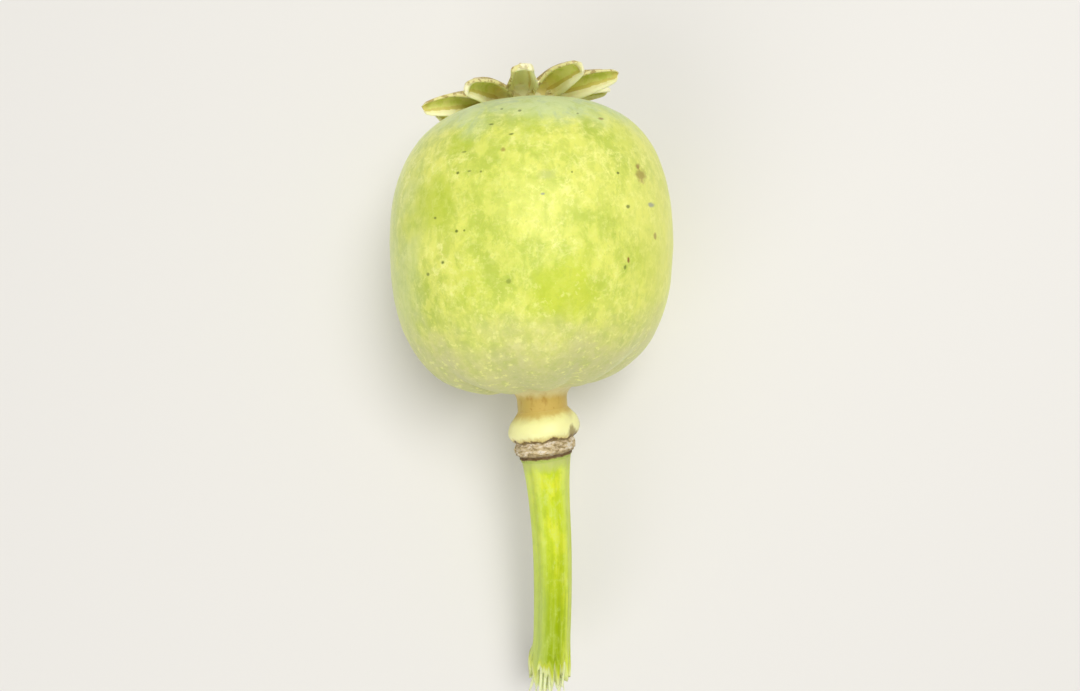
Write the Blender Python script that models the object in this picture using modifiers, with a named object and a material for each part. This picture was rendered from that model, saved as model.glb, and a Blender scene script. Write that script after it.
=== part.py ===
"""A green poppy seed head, picked with a short length of stem and laid on its side.

Run it with: blender --background --python part.py, or from Blender's text editor.

The head is modelled upright, as it grew: +Z runs up the stem and out through the crown, the
middle of the pod's widest ring is at the origin, and the side that ends up on top faces -Y. One
empty then lays it down, crown to +Y and slightly up, with the pod's small flat spot on Z = 0.
"""

import math
import random

import bmesh
import bpy
from mathutils import Matrix, Vector

# Pod: widest radius, and the heights of its two ends above and below the widest ring
POD_RADIUS = 0.0208
POD_TOP = 0.0209
POD_BASE = 0.0204
TOP_POWERS = (2.5, 3.0)
BASE_POWERS = (2.4, 3.1)
POD_TOP_START = math.radians(10.6)
POD_TOP_STEPS = 12
POD_BASE_STEPS = 12
CARPELS = 10
CARPEL_TURN = math.radians(12)
SHOULDER_RIB = 0.011
SHOULDER_RIB_FROM_TO = (0.55, 0.95)
BASE_RIB = 0.026
BASE_RIB_FROM_TO = (0.45, 0.95)
SIDE_RIB = 0.0035
RIB_MIDDLE = 0.6
BASE_SAG = 0.0007
BODY_SKEW = 0.042
BODY_SKEW_FROM_TO = (0.0056, 0.0151)

# Neck, receptacle and stem, all measured down from the pod's widest ring
NECK_RADIUS = 0.00375
NECK_FOOT_RADIUS = 0.00385
NECK_FADE = (0.00415, 0.00815)
NECK_FILLET = 0.0020
NECK_FILLET_STEPS = 4
NECK_NARROWEST = 0.0226
RECEPTACLE_TOP = 0.0242
RECEPTACLE_END = 0.0311
RING_LEAN = 0.075
RING_LEAN_BEGINS = (0.0224, 0.0244)
RING_LEAN_FADES = (0.0311, 0.0431)
STEM_TOP_RADIUS = 0.0037
STEM_RADIUS = 0.0029
STEM_FLARE_LENGTH = 0.0045
STEM_END_FLARE = 0.0004
STEM_END_FLARE_LENGTH = 0.008
STEM_END = 0.0673
STEM_END_DISH = 0.0004
STEM_RIBS = 9
STEM_RIB_DEPTH = 0.02
STEM_SIDE_BEND = 0.0019
STEM_SIDE_BEND_START = 0.042
STEM_SIDE_BEND_POWER = 1.6
STEM_DROOP = 0.0065
STEM_DROOP_START = 0.031
STEM_DROOP_POWER = 2.0

# Outline of the receptacle, radius and depth below its top: the bulge, the upper scar's groove,
# the scar band and the lower scar's groove
RECEPTACLE_OUTLINE = (
    (NECK_FOOT_RADIUS, 0.0),
    (0.0045, 0.0005),
    (0.0050, 0.0012),
    (0.0054, 0.0024),
    (0.0053, 0.0032),
    (0.0049, 0.0038),
    (0.0043, 0.0042),
    (0.0045, 0.0047),
    (0.0045, 0.0054),
    (0.0043, 0.0060),
    (0.0039, 0.0063),
    (0.0040, 0.0066),
)
SCAR_RIPPLE = 0.022
SCAR_RIPPLES = 11
SCAR_TWIST = 900
SCAR_BEGINS = (0.0038, 0.0044)
SCAR_FADES = (0.0065, 0.0069)

# Torn end of the stem
TEAR_DEPTH = 0.0011
TEAR_LENGTH = 0.0015
FIBRES = 13
FIBRE_LENGTH = (0.0028, 0.0052)
FIBRE_RADIUS = (0.00036, 0.00060)
FIBRE_TIP = 0.45
FIBRE_SINK = 0.0026
FIBRE_SIDES = 5
FIBRE_CUTS = 4
FIBRE_LEAN = (-0.08, 0.16)
FIBRE_BOW = (-0.16, 0.16)
FIBRE_UNEVEN = 0.2
FIBRE_CIRCLES = (0.36, 0.72, 0.72)

# Crown: a stalk and a plate, with one folded lobe and one raised ray for each carpel
CROWN_SEAT_RADIUS = 0.0056
CROWN_SEAT_DEPTH = 0.0004
CROWN_LEAN = math.radians(5.2)
CROWN_LIFT = 0.0018
STALK_TOP_RADIUS = 0.0050
STALK_WAIST_RADIUS = 0.0048
STALK_FOOT_RADIUS = 0.0054
PLATE_OUTLINE = (
    (0.0, 0.00105),
    (0.0021, 0.00075),
    (0.0045, 0.00045),
    (0.0060, 0.0),
    (0.0054, -0.00055),
    (0.0036, -0.00075),
    (0.0, -0.00075),
)
LOBE_REACH = 0.0150
LOBE_ROOT = 0.0024
LOBE_ROOT_HALF_WIDTH = 0.0009
LOBE_HALF_WIDTH = 0.0022
LOBE_WIDEST = 0.42
LOBE_NARROWS = (0.33, 0.58)
LOBE_FOLD_SKEW = 0.8
LOBE_FOLD_POWER = 0.7
LOBE_ARCH = 0.0008
LOBE_RISE_POWER = 1.5
LOBE_ROLLS = (0.20, 0.75)
LOBE_THICKNESS = 0.0009
LOBE_THIN = 0.72
LOBE_EDGE_POWER = 4
LOBE_TIP_FROM = 0.8
LOBE_COLUMNS = 5
LOBE_ROWS = 8
RAY_RADIUS = 0.00055
RAY_HEIGHT = 0.00038
RAY_START = 0.0007
RAY_STEPS = 9

# Each lobe: direction (degrees from +X towards -Y), reach, width beyond the root, half width of
# the tip, rise of the tip, roll about its length (degrees), and how far its margins hang down
LOBES = (
    (20, 1.01, 0.90, 0.0008, -0.0002, -34, 0.0016),
    (53, 0.95, 0.98, 0.0008, 0.0000, -30, 0.0016),
    (88, 0.90, 0.62, 0.0013, 0.0004, 3, 0.0017),
    (122, 0.93, 0.86, 0.0009, -0.0004, 28, 0.0015),
    (162, 1.01, 0.90, 0.0008, -0.0004, 34, 0.0012),
    (199, 0.94, 0.95, 0.0009, 0.0004, 9, 0.0009),
    (235, 0.98, 1.00, 0.0008, 0.0006, 6, 0.0013),
    (270, 0.93, 0.95, 0.0009, 0.0002, -4, 0.0014),
    (305, 0.99, 1.00, 0.0008, 0.0005, -9, 0.0014),
    (342, 0.97, 0.95, 0.0009, 0.0004, -8, 0.0014),
)

# How the head lies: crown end up by this much, with this much of the pod flattened by its weight
PITCH = math.radians(1.5)
FLAT_DEPTH = 0.00035

# Gap between two grown-together pieces, so that each stays its own solid
JOINT_GAP = 0.0003

POD_SEGMENTS = 60
RECEPTACLE_SEGMENTS = 40
STEM_SEGMENTS = 27
STEM_RINGS = 16
STEM_RING_SPACING = 1.15
CROWN_SEGMENTS = 40
SHARP_ANGLE = math.radians(40)
TABLE_BLOCK = 0.06
SEED = 7

# Colour (linear RGB) and roughness of each piece
POD_FINISH = ((0.50, 0.60, 0.16, 1.0), 0.55)
CROWN_FINISH = ((0.58, 0.55, 0.22, 1.0), 0.60)
RECEPTACLE_FINISH = ((0.76, 0.70, 0.38, 1.0), 0.50)
STEM_FINISH = ((0.50, 0.62, 0.09, 1.0), 0.45)


def clear_scene():
    for old in list(bpy.data.objects):
        bpy.data.objects.remove(old)


def smooth(t):
    """0 below 0, 1 above 1, and an S-curve between."""
    t = min(max(t, 0.0), 1.0)
    return t * t * (3.0 - 2.0 * t)


def between(value, limits):
    """An S-curve from 0 at the first limit to 1 at the second."""
    start, end = limits
    return smooth((value - start) / (end - start))


def mix(a, b, t):
    return a + (b - a) * t


def material(name, finish):
    colour, roughness = finish
    made = bpy.data.materials.new(name)
    made.use_nodes = True
    shader = made.node_tree.nodes["Principled BSDF"]
    shader.inputs["Base Color"].default_value = colour
    shader.inputs["Roughness"].default_value = roughness
    shader.inputs["Metallic"].default_value = 0.0
    made.diffuse_color = colour
    return made


def add_object(name, mesh, collection):
    made = bpy.data.objects.new(name, mesh)
    collection.objects.link(made)
    return made


def applied(obj):
    """The object with its modifiers turned into its mesh."""
    bpy.context.view_layer.update()
    graph = bpy.context.evaluated_depsgraph_get()
    mesh = bpy.data.meshes.new_from_object(obj.evaluated_get(graph))
    obj.modifiers.clear()
    obj.data = mesh
    return obj


def turned(name, outline, segments, collection):
    """A body turned about Z. The outline's (radius, height) points run top to bottom, axis to axis."""
    mesh = bpy.data.meshes.new(name)
    points = [(radius, 0.0, height) for radius, height in outline]
    mesh.from_pydata(points, [(i, i + 1) for i in range(len(points) - 1)], [])
    obj = add_object(name, mesh, collection)
    screw = obj.modifiers.new("turn", "SCREW")
    screw.angle = math.tau
    screw.steps = segments
    screw.render_steps = segments
    screw.use_merge_vertices = True
    screw.merge_threshold = 0.00001
    return applied(obj)


def reshape(obj, move):
    """Moves every point of the object's mesh by the function."""
    for vertex in obj.data.vertices:
        vertex.co = move(vertex.co.copy())
    obj.data.update()


def finish(obj, name, look, parent):
    obj.data.shade_smooth()
    obj.data.set_sharp_from_angle(angle=SHARP_ANGLE)
    obj.data.materials.clear()
    obj.data.materials.append(material(name, look))
    obj.parent = parent


def pod_radius(height):
    """Radius of the round pod at a height: a barrel, fuller at the shoulder than at the base."""
    end, (bend, square) = (POD_TOP, TOP_POWERS) if height > 0 else (POD_BASE, BASE_POWERS)
    share = min(abs(height) / end, 1.0)
    return POD_RADIUS * (1.0 - share**bend) ** (1.0 / square)


def pod_outline():
    """The pod's outline: the seat of the crown, the barrel, and the neck down to the receptacle."""
    seat = POD_TOP - CROWN_SEAT_DEPTH
    outline = [(0.0, seat), (CROWN_SEAT_RADIUS, seat)]
    for step in range(POD_TOP_STEPS):
        height = POD_TOP * math.cos(mix(POD_TOP_START, math.pi / 2, step / POD_TOP_STEPS))
        outline.append((pod_radius(height), height))
    for step in range(POD_BASE_STEPS):
        height = -POD_BASE * math.sin(math.pi / 2 * step / POD_BASE_STEPS)
        outline.append((pod_radius(height), height))
    for step in range(NECK_FILLET_STEPS):
        turn = math.pi / 2 * step / NECK_FILLET_STEPS
        radius = NECK_RADIUS + NECK_FILLET * (1.0 - math.sin(turn))
        outline.append((radius, -POD_BASE - NECK_FILLET * (1.0 - math.cos(turn))))
    foot = -RECEPTACLE_TOP + JOINT_GAP
    return outline + [(NECK_RADIUS, -NECK_NARROWEST), (NECK_FOOT_RADIUS, foot), (0.0, foot)]


def carpel_swell(point):
    """Presses the pod's shallow carpels in: strongest round the base, faint on the sides."""
    radius = math.hypot(point.x, point.y)
    angle = math.atan2(point.y, point.x)
    below = between(-point.z / POD_BASE, BASE_RIB_FROM_TO)
    above = between(point.z / POD_TOP, SHOULDER_RIB_FROM_TO)
    on_pod = between(radius, NECK_FADE)
    depth = (SIDE_RIB + BASE_RIB * below + SHOULDER_RIB * above) * on_pod
    rib = abs(math.cos(CARPELS / 2 * (angle + CARPEL_TURN))) - RIB_MIDDLE
    swell = 1.0 + depth * rib
    sag = BASE_SAG * below * on_pod * (1.0 - math.cos(angle)) / 2
    skew = BODY_SKEW * point.z * between(radius, BODY_SKEW_FROM_TO)
    height = point.z * mix(1.0, swell, below) - sag
    return lean_rings(Vector((point.x * swell + skew, point.y * swell, height)))


def lean_rings(point):
    """Tilts everything about the receptacle: its rings don't lie square to the line from stem to crown."""
    depth = -point.z
    lean = RING_LEAN * between(depth, RING_LEAN_BEGINS) * (1.0 - between(depth, RING_LEAN_FADES))
    return Vector((point.x, point.y, point.z + lean * point.x))


def make_pod(collection):
    pod = turned("capsule", pod_outline(), POD_SEGMENTS, collection)
    reshape(pod, carpel_swell)
    return pod


def receptacle_outline():
    """The swollen stem tip that carried the flower: a cream bulge over two scar rings."""
    side = [(radius, -RECEPTACLE_TOP - depth) for radius, depth in RECEPTACLE_OUTLINE]
    end = -RECEPTACLE_END
    return [(0.0, -RECEPTACLE_TOP), *side, (STEM_TOP_RADIUS, end), (0.0, end)]


def ripple_ring(point):
    """Makes the scar rings slightly uneven, as torn-off petal and stamen bases leave them."""
    depth = -point.z - RECEPTACLE_TOP
    angle = math.atan2(point.y, point.x)
    on_scar = between(depth, SCAR_BEGINS) * (1.0 - between(depth, SCAR_FADES))
    grow = 1.0 + SCAR_RIPPLE * on_scar * math.sin(SCAR_RIPPLES * angle + SCAR_TWIST * depth)
    return lean_rings(Vector((point.x * grow, point.y * grow, point.z)))


def make_receptacle(collection):
    receptacle = turned("receptacle", receptacle_outline(), RECEPTACLE_SEGMENTS, collection)
    reshape(receptacle, ripple_ring)
    return receptacle


def stem_radius(depth):
    flare = math.exp(-max(depth - RECEPTACLE_END, 0.0) / STEM_FLARE_LENGTH)
    frayed = between(depth, (STEM_END - STEM_END_FLARE_LENGTH, STEM_END))
    return STEM_RADIUS + (STEM_TOP_RADIUS - STEM_RADIUS) * flare + STEM_END_FLARE * frayed


def stem_bend(depth):
    """Sideways place of the stem's middle at a depth below the pod's widest ring."""
    side = max(depth - STEM_SIDE_BEND_START, 0.0) / (STEM_END - STEM_SIDE_BEND_START)
    droop = max(depth - STEM_DROOP_START, 0.0) / (STEM_END - STEM_DROOP_START)
    aside = -STEM_SIDE_BEND * side**STEM_SIDE_BEND_POWER
    return Vector((aside, STEM_DROOP * droop**STEM_DROOP_POWER, 0.0))


def stem_outline():
    start = RECEPTACLE_END + JOINT_GAP
    outline = [(0.0, -start)]
    for step in range(STEM_RINGS + 1):
        depth = mix(start, STEM_END, (step / STEM_RINGS) ** STEM_RING_SPACING)
        outline.append((stem_radius(depth), -depth))
    outline.append((0.0, -STEM_END + STEM_END_DISH))
    return outline


def make_stem(collection):
    """The ribbed, bent stem with its torn end: ragged skin and the stiff fibres that pulled out."""
    rng = random.Random(SEED)
    tear = [rng.uniform(-1.0, 1.0) for _ in range(STEM_SEGMENTS)]

    def shape(point):
        depth = -point.z
        radius = math.hypot(point.x, point.y)
        angle = math.atan2(point.y, point.x)
        rib = 1.0 + STEM_RIB_DEPTH * math.cos(STEM_RIBS * angle)
        near_end = between(depth, (STEM_END - TEAR_LENGTH, STEM_END))
        at_skin = smooth(radius / STEM_RADIUS)
        notch = tear[round(angle / math.tau * STEM_SEGMENTS) % STEM_SEGMENTS]
        torn = TEAR_DEPTH * notch * near_end * at_skin
        moved = Vector((point.x * rib, point.y * rib, point.z + torn))
        return lean_rings(moved) + stem_bend(depth)

    stem = turned("stem", stem_outline(), STEM_SEGMENTS, collection)
    reshape(stem, shape)
    loose = bpy.data.collections.new("stem_fibres")
    bpy.context.scene.collection.children.link(loose)
    for number in range(FIBRES):
        add_fibre(number, rng, loose)
    return fused(stem, loose)


def add_fibre(number, rng, collection):
    """One tapered fibre, rooted inside the stem and leaning a little outwards."""
    length = rng.uniform(*FIBRE_LENGTH)
    radius = rng.uniform(*FIBRE_RADIUS)
    angle = math.tau * (number + rng.uniform(-FIBRE_UNEVEN, FIBRE_UNEVEN)) / FIBRES
    ring = STEM_RADIUS * FIBRE_CIRCLES[number % len(FIBRE_CIRCLES)]
    lean = rng.uniform(*FIBRE_LEAN)
    bow = rng.uniform(*FIBRE_BOW)
    outward = Vector((math.cos(angle), math.sin(angle), 0.0))
    across = Vector((-outward.y, outward.x, 0.0))
    root = STEM_END - FIBRE_SINK
    whole = FIBRE_SINK + length
    shape = bmesh.new()
    bmesh.ops.create_cone(
        shape, cap_ends=True, segments=FIBRE_SIDES, radius1=radius * FIBRE_TIP, radius2=radius, depth=whole
    )
    long_edges = [e for e in shape.edges if abs(e.verts[0].co.z - e.verts[1].co.z) > whole / 2]
    bmesh.ops.subdivide_edges(shape, edges=long_edges, cuts=FIBRE_CUTS, use_grid_fill=True)
    for vertex in shape.verts:
        along = 0.5 - vertex.co.z / whole
        free = max(along * whole - FIBRE_SINK, 0.0)
        depth = root + along * whole
        drift = outward * (free * lean) + across * (free * bow * along)
        centre = outward * ring + drift + stem_bend(min(depth, STEM_END))
        vertex.co = Vector((vertex.co.x, vertex.co.y, 0.0)) + centre + Vector((0.0, 0.0, -depth))
    mesh = bpy.data.meshes.new(f"fibre_{number:02d}")
    shape.to_mesh(mesh)
    shape.free()
    add_object(mesh.name, mesh, collection)


def fused(obj, extras):
    """The object joined with everything in the collection, which is then removed."""
    union = obj.modifiers.new("fuse", "BOOLEAN")
    union.operation = "UNION"
    union.operand_type = "COLLECTION"
    union.collection = extras
    union.solver = "EXACT"
    applied(obj)
    for extra in list(extras.objects):
        bpy.data.objects.remove(extra)
    bpy.data.collections.remove(extras)
    keep_outer_skin(obj)
    return obj


def keep_outer_skin(obj):
    """Drops every closed surface but the largest: the walls of pockets that the fusing sealed."""
    shape = bmesh.new()
    shape.from_mesh(obj.data)
    unseen = set(shape.verts)
    skins = []
    while unseen:
        skin = set()
        edge_of_search = [unseen.pop()]
        while edge_of_search:
            vertex = edge_of_search.pop()
            skin.add(vertex)
            near = [edge.other_vert(vertex) for edge in vertex.link_edges]
            fresh = [v for v in near if v in unseen]
            unseen.difference_update(fresh)
            edge_of_search.extend(fresh)
        skins.append(skin)
    largest = max(skins, key=len)
    inner = [vertex for vertex in shape.verts if vertex not in largest]
    bmesh.ops.delete(shape, geom=inner, context="VERTS")
    shape.to_mesh(obj.data)
    shape.free()


def lobe_half_width(share, width, tip):
    """Half the width of a lobe's blade, from its root (0) to its tip (1)."""
    if share < LOBE_WIDEST:
        half = mix(LOBE_ROOT_HALF_WIDTH, LOBE_HALF_WIDTH, math.sin(math.pi / 2 * share / LOBE_WIDEST))
    else:
        beyond = (share - LOBE_WIDEST) / (1.0 - LOBE_WIDEST)
        half = mix(tip, LOBE_HALF_WIDTH, math.sqrt(max(1.0 - beyond * beyond, 0.0)))
    return half * mix(1.0, width, between(share, LOBE_NARROWS))


def lobe_point(share, across, form):
    """A point of a lobe's blade, pointing along +X: its margins hang down on both sides of its ray."""
    reach, width, tip, rise, roll, fold = form
    along = mix(LOBE_ROOT, LOBE_REACH * reach, share)
    share = min(max(share, 0.0), 1.0)
    side = lobe_half_width(share, width, tip) * across
    hang = fold * math.sin(math.pi * share**LOBE_FOLD_SKEW) ** LOBE_FOLD_POWER
    drop = hang * math.sin(math.pi / 2 * across) ** 2
    turn = math.radians(roll) * between(share, LOBE_ROLLS)
    height = side * math.sin(turn) - drop * math.cos(turn)
    side = side * math.cos(turn) + drop * math.sin(turn)
    arch = LOBE_ARCH * math.sin(math.pi * share)
    return Vector((along, side, rise * share**LOBE_RISE_POWER + arch + height))


def add_lobe(number, spec, place, collection):
    """One lobe: a folded blade with thick rims, and the raised ray along its back."""
    direction, *form = spec
    turn = place @ Matrix.Rotation(-math.radians(direction), 4, "Z")
    grid = bmesh.new()
    bmesh.ops.create_grid(grid, x_segments=LOBE_ROWS, y_segments=LOBE_COLUMNS, size=1.0)
    thick = grid.verts.layers.deform.new()
    for vertex in grid.verts:
        share, across = (vertex.co.x + 1.0) / 2.0, vertex.co.y
        rim = max(abs(across) ** LOBE_EDGE_POWER, between(share, (LOBE_TIP_FROM, 1.0)))
        vertex[thick][0] = mix(LOBE_THIN, 1.0, rim)
        vertex.co = turn @ lobe_point(share, across, form)
    mesh = bpy.data.meshes.new(f"lobe_{number:02d}")
    grid.to_mesh(mesh)
    grid.free()
    blade = add_object(mesh.name, mesh, collection)
    blade.vertex_groups.new(name="thick")
    shell = blade.modifiers.new("thickness", "SOLIDIFY")
    shell.thickness = LOBE_THICKNESS
    shell.offset = 0.0
    shell.vertex_group = "thick"
    applied(blade)
    add_ray(number, [turn @ lobe_point(share, 0.0, form) for share in ray_shares()], place, collection)


def ray_shares():
    start = (RAY_START - LOBE_ROOT) / (LOBE_REACH - LOBE_ROOT)
    return [mix(start, 1.0, step / RAY_STEPS) for step in range(RAY_STEPS + 1)]


def add_ray(number, path, place, collection):
    """The stigma's raised ray, a round bar that rides on the back of its lobe to the tip."""
    up = (place.to_3x3() @ Vector((0.0, 0.0, 1.0))).normalized()
    curve = bpy.data.curves.new(f"ray_{number:02d}", "CURVE")
    curve.dimensions = "3D"
    curve.bevel_depth = RAY_RADIUS
    curve.bevel_resolution = 1
    curve.use_fill_caps = True
    line = curve.splines.new("POLY")
    line.points.add(len(path) - 1)
    for target, point in zip(line.points, path):
        target.co = (*(point + up * RAY_HEIGHT), 1.0)
    guide = add_object(f"ray_path_{number:02d}", curve, collection)
    bpy.context.view_layer.update()
    graph = bpy.context.evaluated_depsgraph_get()
    mesh = bpy.data.meshes.new_from_object(guide.evaluated_get(graph))
    bpy.data.objects.remove(guide)
    shape = bmesh.new()
    shape.from_mesh(mesh)
    bmesh.ops.remove_doubles(shape, verts=shape.verts, dist=0.00001)
    shape.to_mesh(mesh)
    shape.free()
    add_object(f"ray_{number:02d}", mesh, collection)


def make_crown(collection):
    """The stigma's crown: stalk, leaning plate, folded lobes and rays, fused in one body."""
    seat = POD_TOP - CROWN_SEAT_DEPTH + JOINT_GAP
    height = POD_TOP + CROWN_LIFT
    stalk_outline = [
        (0.0, height),
        (STALK_TOP_RADIUS, height),
        (STALK_WAIST_RADIUS, (seat + height) / 2),
        (STALK_FOOT_RADIUS, seat),
        (0.0, seat),
    ]
    crown = turned("crown", stalk_outline, CROWN_SEGMENTS, collection)
    place = Matrix.Translation((0.0, 0.0, height)) @ Matrix.Rotation(-CROWN_LEAN, 4, "Y")
    loose = bpy.data.collections.new("crown_pieces")
    bpy.context.scene.collection.children.link(loose)
    plate = turned("plate", PLATE_OUTLINE, CROWN_SEGMENTS, loose)
    plate.data.transform(place)
    for number, spec in enumerate(LOBES):
        add_lobe(number, spec, place, loose)
    return fused(crown, loose)


def lie_down(parent):
    """Turns the upright head onto its side, and finds how low its widest ring lies for the flat spot."""
    parent.rotation_euler = (-(math.pi / 2 - PITCH), 0.0, 0.0)
    turn = parent.rotation_euler.to_matrix()
    lowest = min((turn @ Vector((0.0, pod_radius(z), z)) for z in contact_heights()), key=lambda p: p.z)
    parent.location = (0.0, -lowest.y, -lowest.z - FLAT_DEPTH)


def contact_heights():
    span = 0.012
    steps = 480
    return [span * (2.0 * step / steps - 1.0) for step in range(steps + 1)]


def flatten_underside(pod, cutters):
    """Cuts the flat spot that the pod rests on, at Z = 0, with a block under the surface."""
    block = bmesh.new()
    bmesh.ops.create_cube(block, size=TABLE_BLOCK)
    bmesh.ops.translate(block, verts=block.verts, vec=(0.0, 0.0, -TABLE_BLOCK / 2))
    mesh = bpy.data.meshes.new("table_block")
    block.to_mesh(mesh)
    block.free()
    table = add_object("table_block", mesh, cutters)
    table.hide_render = True
    table.display_type = "WIRE"
    cut = pod.modifiers.new("flat_spot", "BOOLEAN")
    cut.operation = "DIFFERENCE"
    cut.solver = "EXACT"
    cut.object = table


def main():
    clear_scene()
    scene = bpy.context.scene
    pieces = bpy.data.collections.new("poppy_seed_head")
    cutters = bpy.data.collections.new("cutters")
    scene.collection.children.link(pieces)
    scene.collection.children.link(cutters)
    head = add_object("head_lying_down", None, pieces)
    lie_down(head)
    pod = make_pod(pieces)
    finish(pod, "waxy_green_pod", POD_FINISH, head)
    finish(make_crown(pieces), "olive_crown", CROWN_FINISH, head)
    finish(make_receptacle(pieces), "cream_receptacle", RECEPTACLE_FINISH, head)
    finish(make_stem(pieces), "green_stem", STEM_FINISH, head)
    flatten_underside(pod, cutters)
    bpy.context.view_layer.update()


main()
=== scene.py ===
"""A green poppy seed head lying on a pale table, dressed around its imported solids.

The head is worked out upright, as it grew: +Z runs up the stem and out through the crown, the
middle of the capsule's widest ring is at the origin and the side that ends on top faces -Y.
Every piece keeps those upright places in its "grown" attribute, which its finish reads, and is
then laid down as its solid is.
"""

import logging
import math
from dataclasses import dataclass
from enum import Enum
from typing import Any, Iterable, Sequence

import bmesh
import bpy
from mathutils import Euler, Matrix, Vector
from mathutils.kdtree import KDTree


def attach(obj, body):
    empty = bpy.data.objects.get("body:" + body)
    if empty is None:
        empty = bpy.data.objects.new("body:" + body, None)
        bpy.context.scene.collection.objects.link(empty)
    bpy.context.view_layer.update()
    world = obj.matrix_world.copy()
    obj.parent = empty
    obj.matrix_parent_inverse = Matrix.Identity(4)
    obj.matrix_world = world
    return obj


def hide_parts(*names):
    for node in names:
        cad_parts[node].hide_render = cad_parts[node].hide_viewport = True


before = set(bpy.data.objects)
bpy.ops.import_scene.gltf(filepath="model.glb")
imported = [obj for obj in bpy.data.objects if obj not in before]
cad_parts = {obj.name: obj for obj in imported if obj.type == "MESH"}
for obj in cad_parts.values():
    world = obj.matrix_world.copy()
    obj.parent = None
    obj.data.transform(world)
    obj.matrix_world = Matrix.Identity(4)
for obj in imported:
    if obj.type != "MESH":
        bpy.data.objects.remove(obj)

LOG = logging.getLogger("poppy_seed_head")
MM = 0.001
SEED = 7
GROWN = "grown"


def linear(code: str) -> tuple[float, float, float, float]:
    """Turns an sRGB hex colour into linear light.

    Args:
        code: six hex digits, with or without a leading #.

    Returns:
        Linear red, green and blue, and an alpha of 1.
    """
    digits = code.lstrip("#")
    parts = [int(digits[i : i + 2], 16) / 255 for i in (0, 2, 4)]
    red, green, blue = (p / 12.92 if p <= 0.04045 else ((p + 0.055) / 1.055) ** 2.4 for p in parts)
    return red, green, blue, 1.0


def add_node(tree: bpy.types.NodeTree, kind: str, links: dict | None = None, **settings: Any) -> Any:
    """Adds a node with its settings and its inputs.

    Args:
        tree: the shader or geometry tree.
        kind: the node's type name.
        links: for each input, by name or number, a value, a socket or a Wire.
        settings: the node's own properties.

    Returns:
        The new node.
    """
    made = tree.nodes.new(kind)
    for name, value in settings.items():
        setattr(made, name, value)
    for key, value in (links or {}).items():
        if isinstance(value, Wire):
            value = value.socket
        if isinstance(value, bpy.types.NodeSocket):
            tree.links.new(value, made.inputs[key])
        else:
            made.inputs[key].default_value = value
    return made


class Wire:
    """One number running through a tree: arithmetic on it adds the tree's Math nodes."""

    def __init__(self, tree: bpy.types.NodeTree, socket: bpy.types.NodeSocket) -> None:
        """Takes hold of a node's output."""
        self.tree = tree
        self.socket = socket

    def work(self, operation: str, *others: "Wire | float", **settings: Any) -> "Wire":
        """Adds a Math node.

        Args:
            operation: the Math node's operation.
            others: its second and third inputs.
            settings: further properties of the node.

        Returns:
            The node's result.
        """
        inputs = dict(enumerate((self, *others)))
        made = add_node(self.tree, "ShaderNodeMath", inputs, operation=operation, **settings)
        return Wire(self.tree, made.outputs[0])

    def __add__(self, other: "Wire | float") -> "Wire":
        """Sum."""
        return self.work("ADD", other)

    def __sub__(self, other: "Wire | float") -> "Wire":
        """Difference."""
        return self.work("SUBTRACT", other)

    def __mul__(self, other: "Wire | float") -> "Wire":
        """Product."""
        return self.work("MULTIPLY", other)

    def __truediv__(self, other: "Wire | float") -> "Wire":
        """Quotient."""
        return self.work("DIVIDE", other)

    def __pow__(self, other: "Wire | float") -> "Wire":
        """Power, of a number that isn't negative."""
        return self.work("POWER", other)

    def __rsub__(self, other: float) -> "Wire":
        """A plain number less this one."""
        return self * -1.0 + other

    def __neg__(self) -> "Wire":
        """The number with its sign turned."""
        return self * -1.0

    __radd__ = __add__
    __rmul__ = __mul__

    def step(self, start: float, end: float) -> "Wire":
        """An S-curve from 0 at start to 1 at end.

        Args:
            start: where it leaves 0.
            end: where it reaches 1; it may be the lower of the two.

        Returns:
            The curve's value.
        """
        share = (self * (1.0 / (end - start)) - start / (end - start)).work("MINIMUM", 1.0)
        share = share.work("MAXIMUM", 0.0)
        return share * share * (3.0 - share * 2.0)

    def toward(self, other: "Wire | float", share: "Wire | float") -> "Wire":
        """This number moved towards another by a share of the way."""
        return self + (other - self if isinstance(other, Wire) else (-self + other)) * share


def joined(tree: bpy.types.NodeTree, x: Any, y: Any, z: Any) -> bpy.types.NodeSocket:
    """A vector made of three numbers."""
    return add_node(tree, "ShaderNodeCombineXYZ", {"X": x, "Y": y, "Z": z}).outputs[0]


def parted(tree: bpy.types.NodeTree, vector: bpy.types.NodeSocket) -> tuple[Wire, Wire, Wire]:
    """A vector's three numbers."""
    outputs = add_node(tree, "ShaderNodeSeparateXYZ", {0: vector}).outputs
    return Wire(tree, outputs[0]), Wire(tree, outputs[1]), Wire(tree, outputs[2])


def smooth(t: float) -> float:
    """0 below 0, 1 above 1, and an S-curve between."""
    t = min(max(t, 0.0), 1.0)
    return t * t * (3.0 - 2.0 * t)


def mix(a: float, b: float, t: float) -> float:
    """The value a share t of the way from a to b."""
    return a + (b - a) * t


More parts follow.
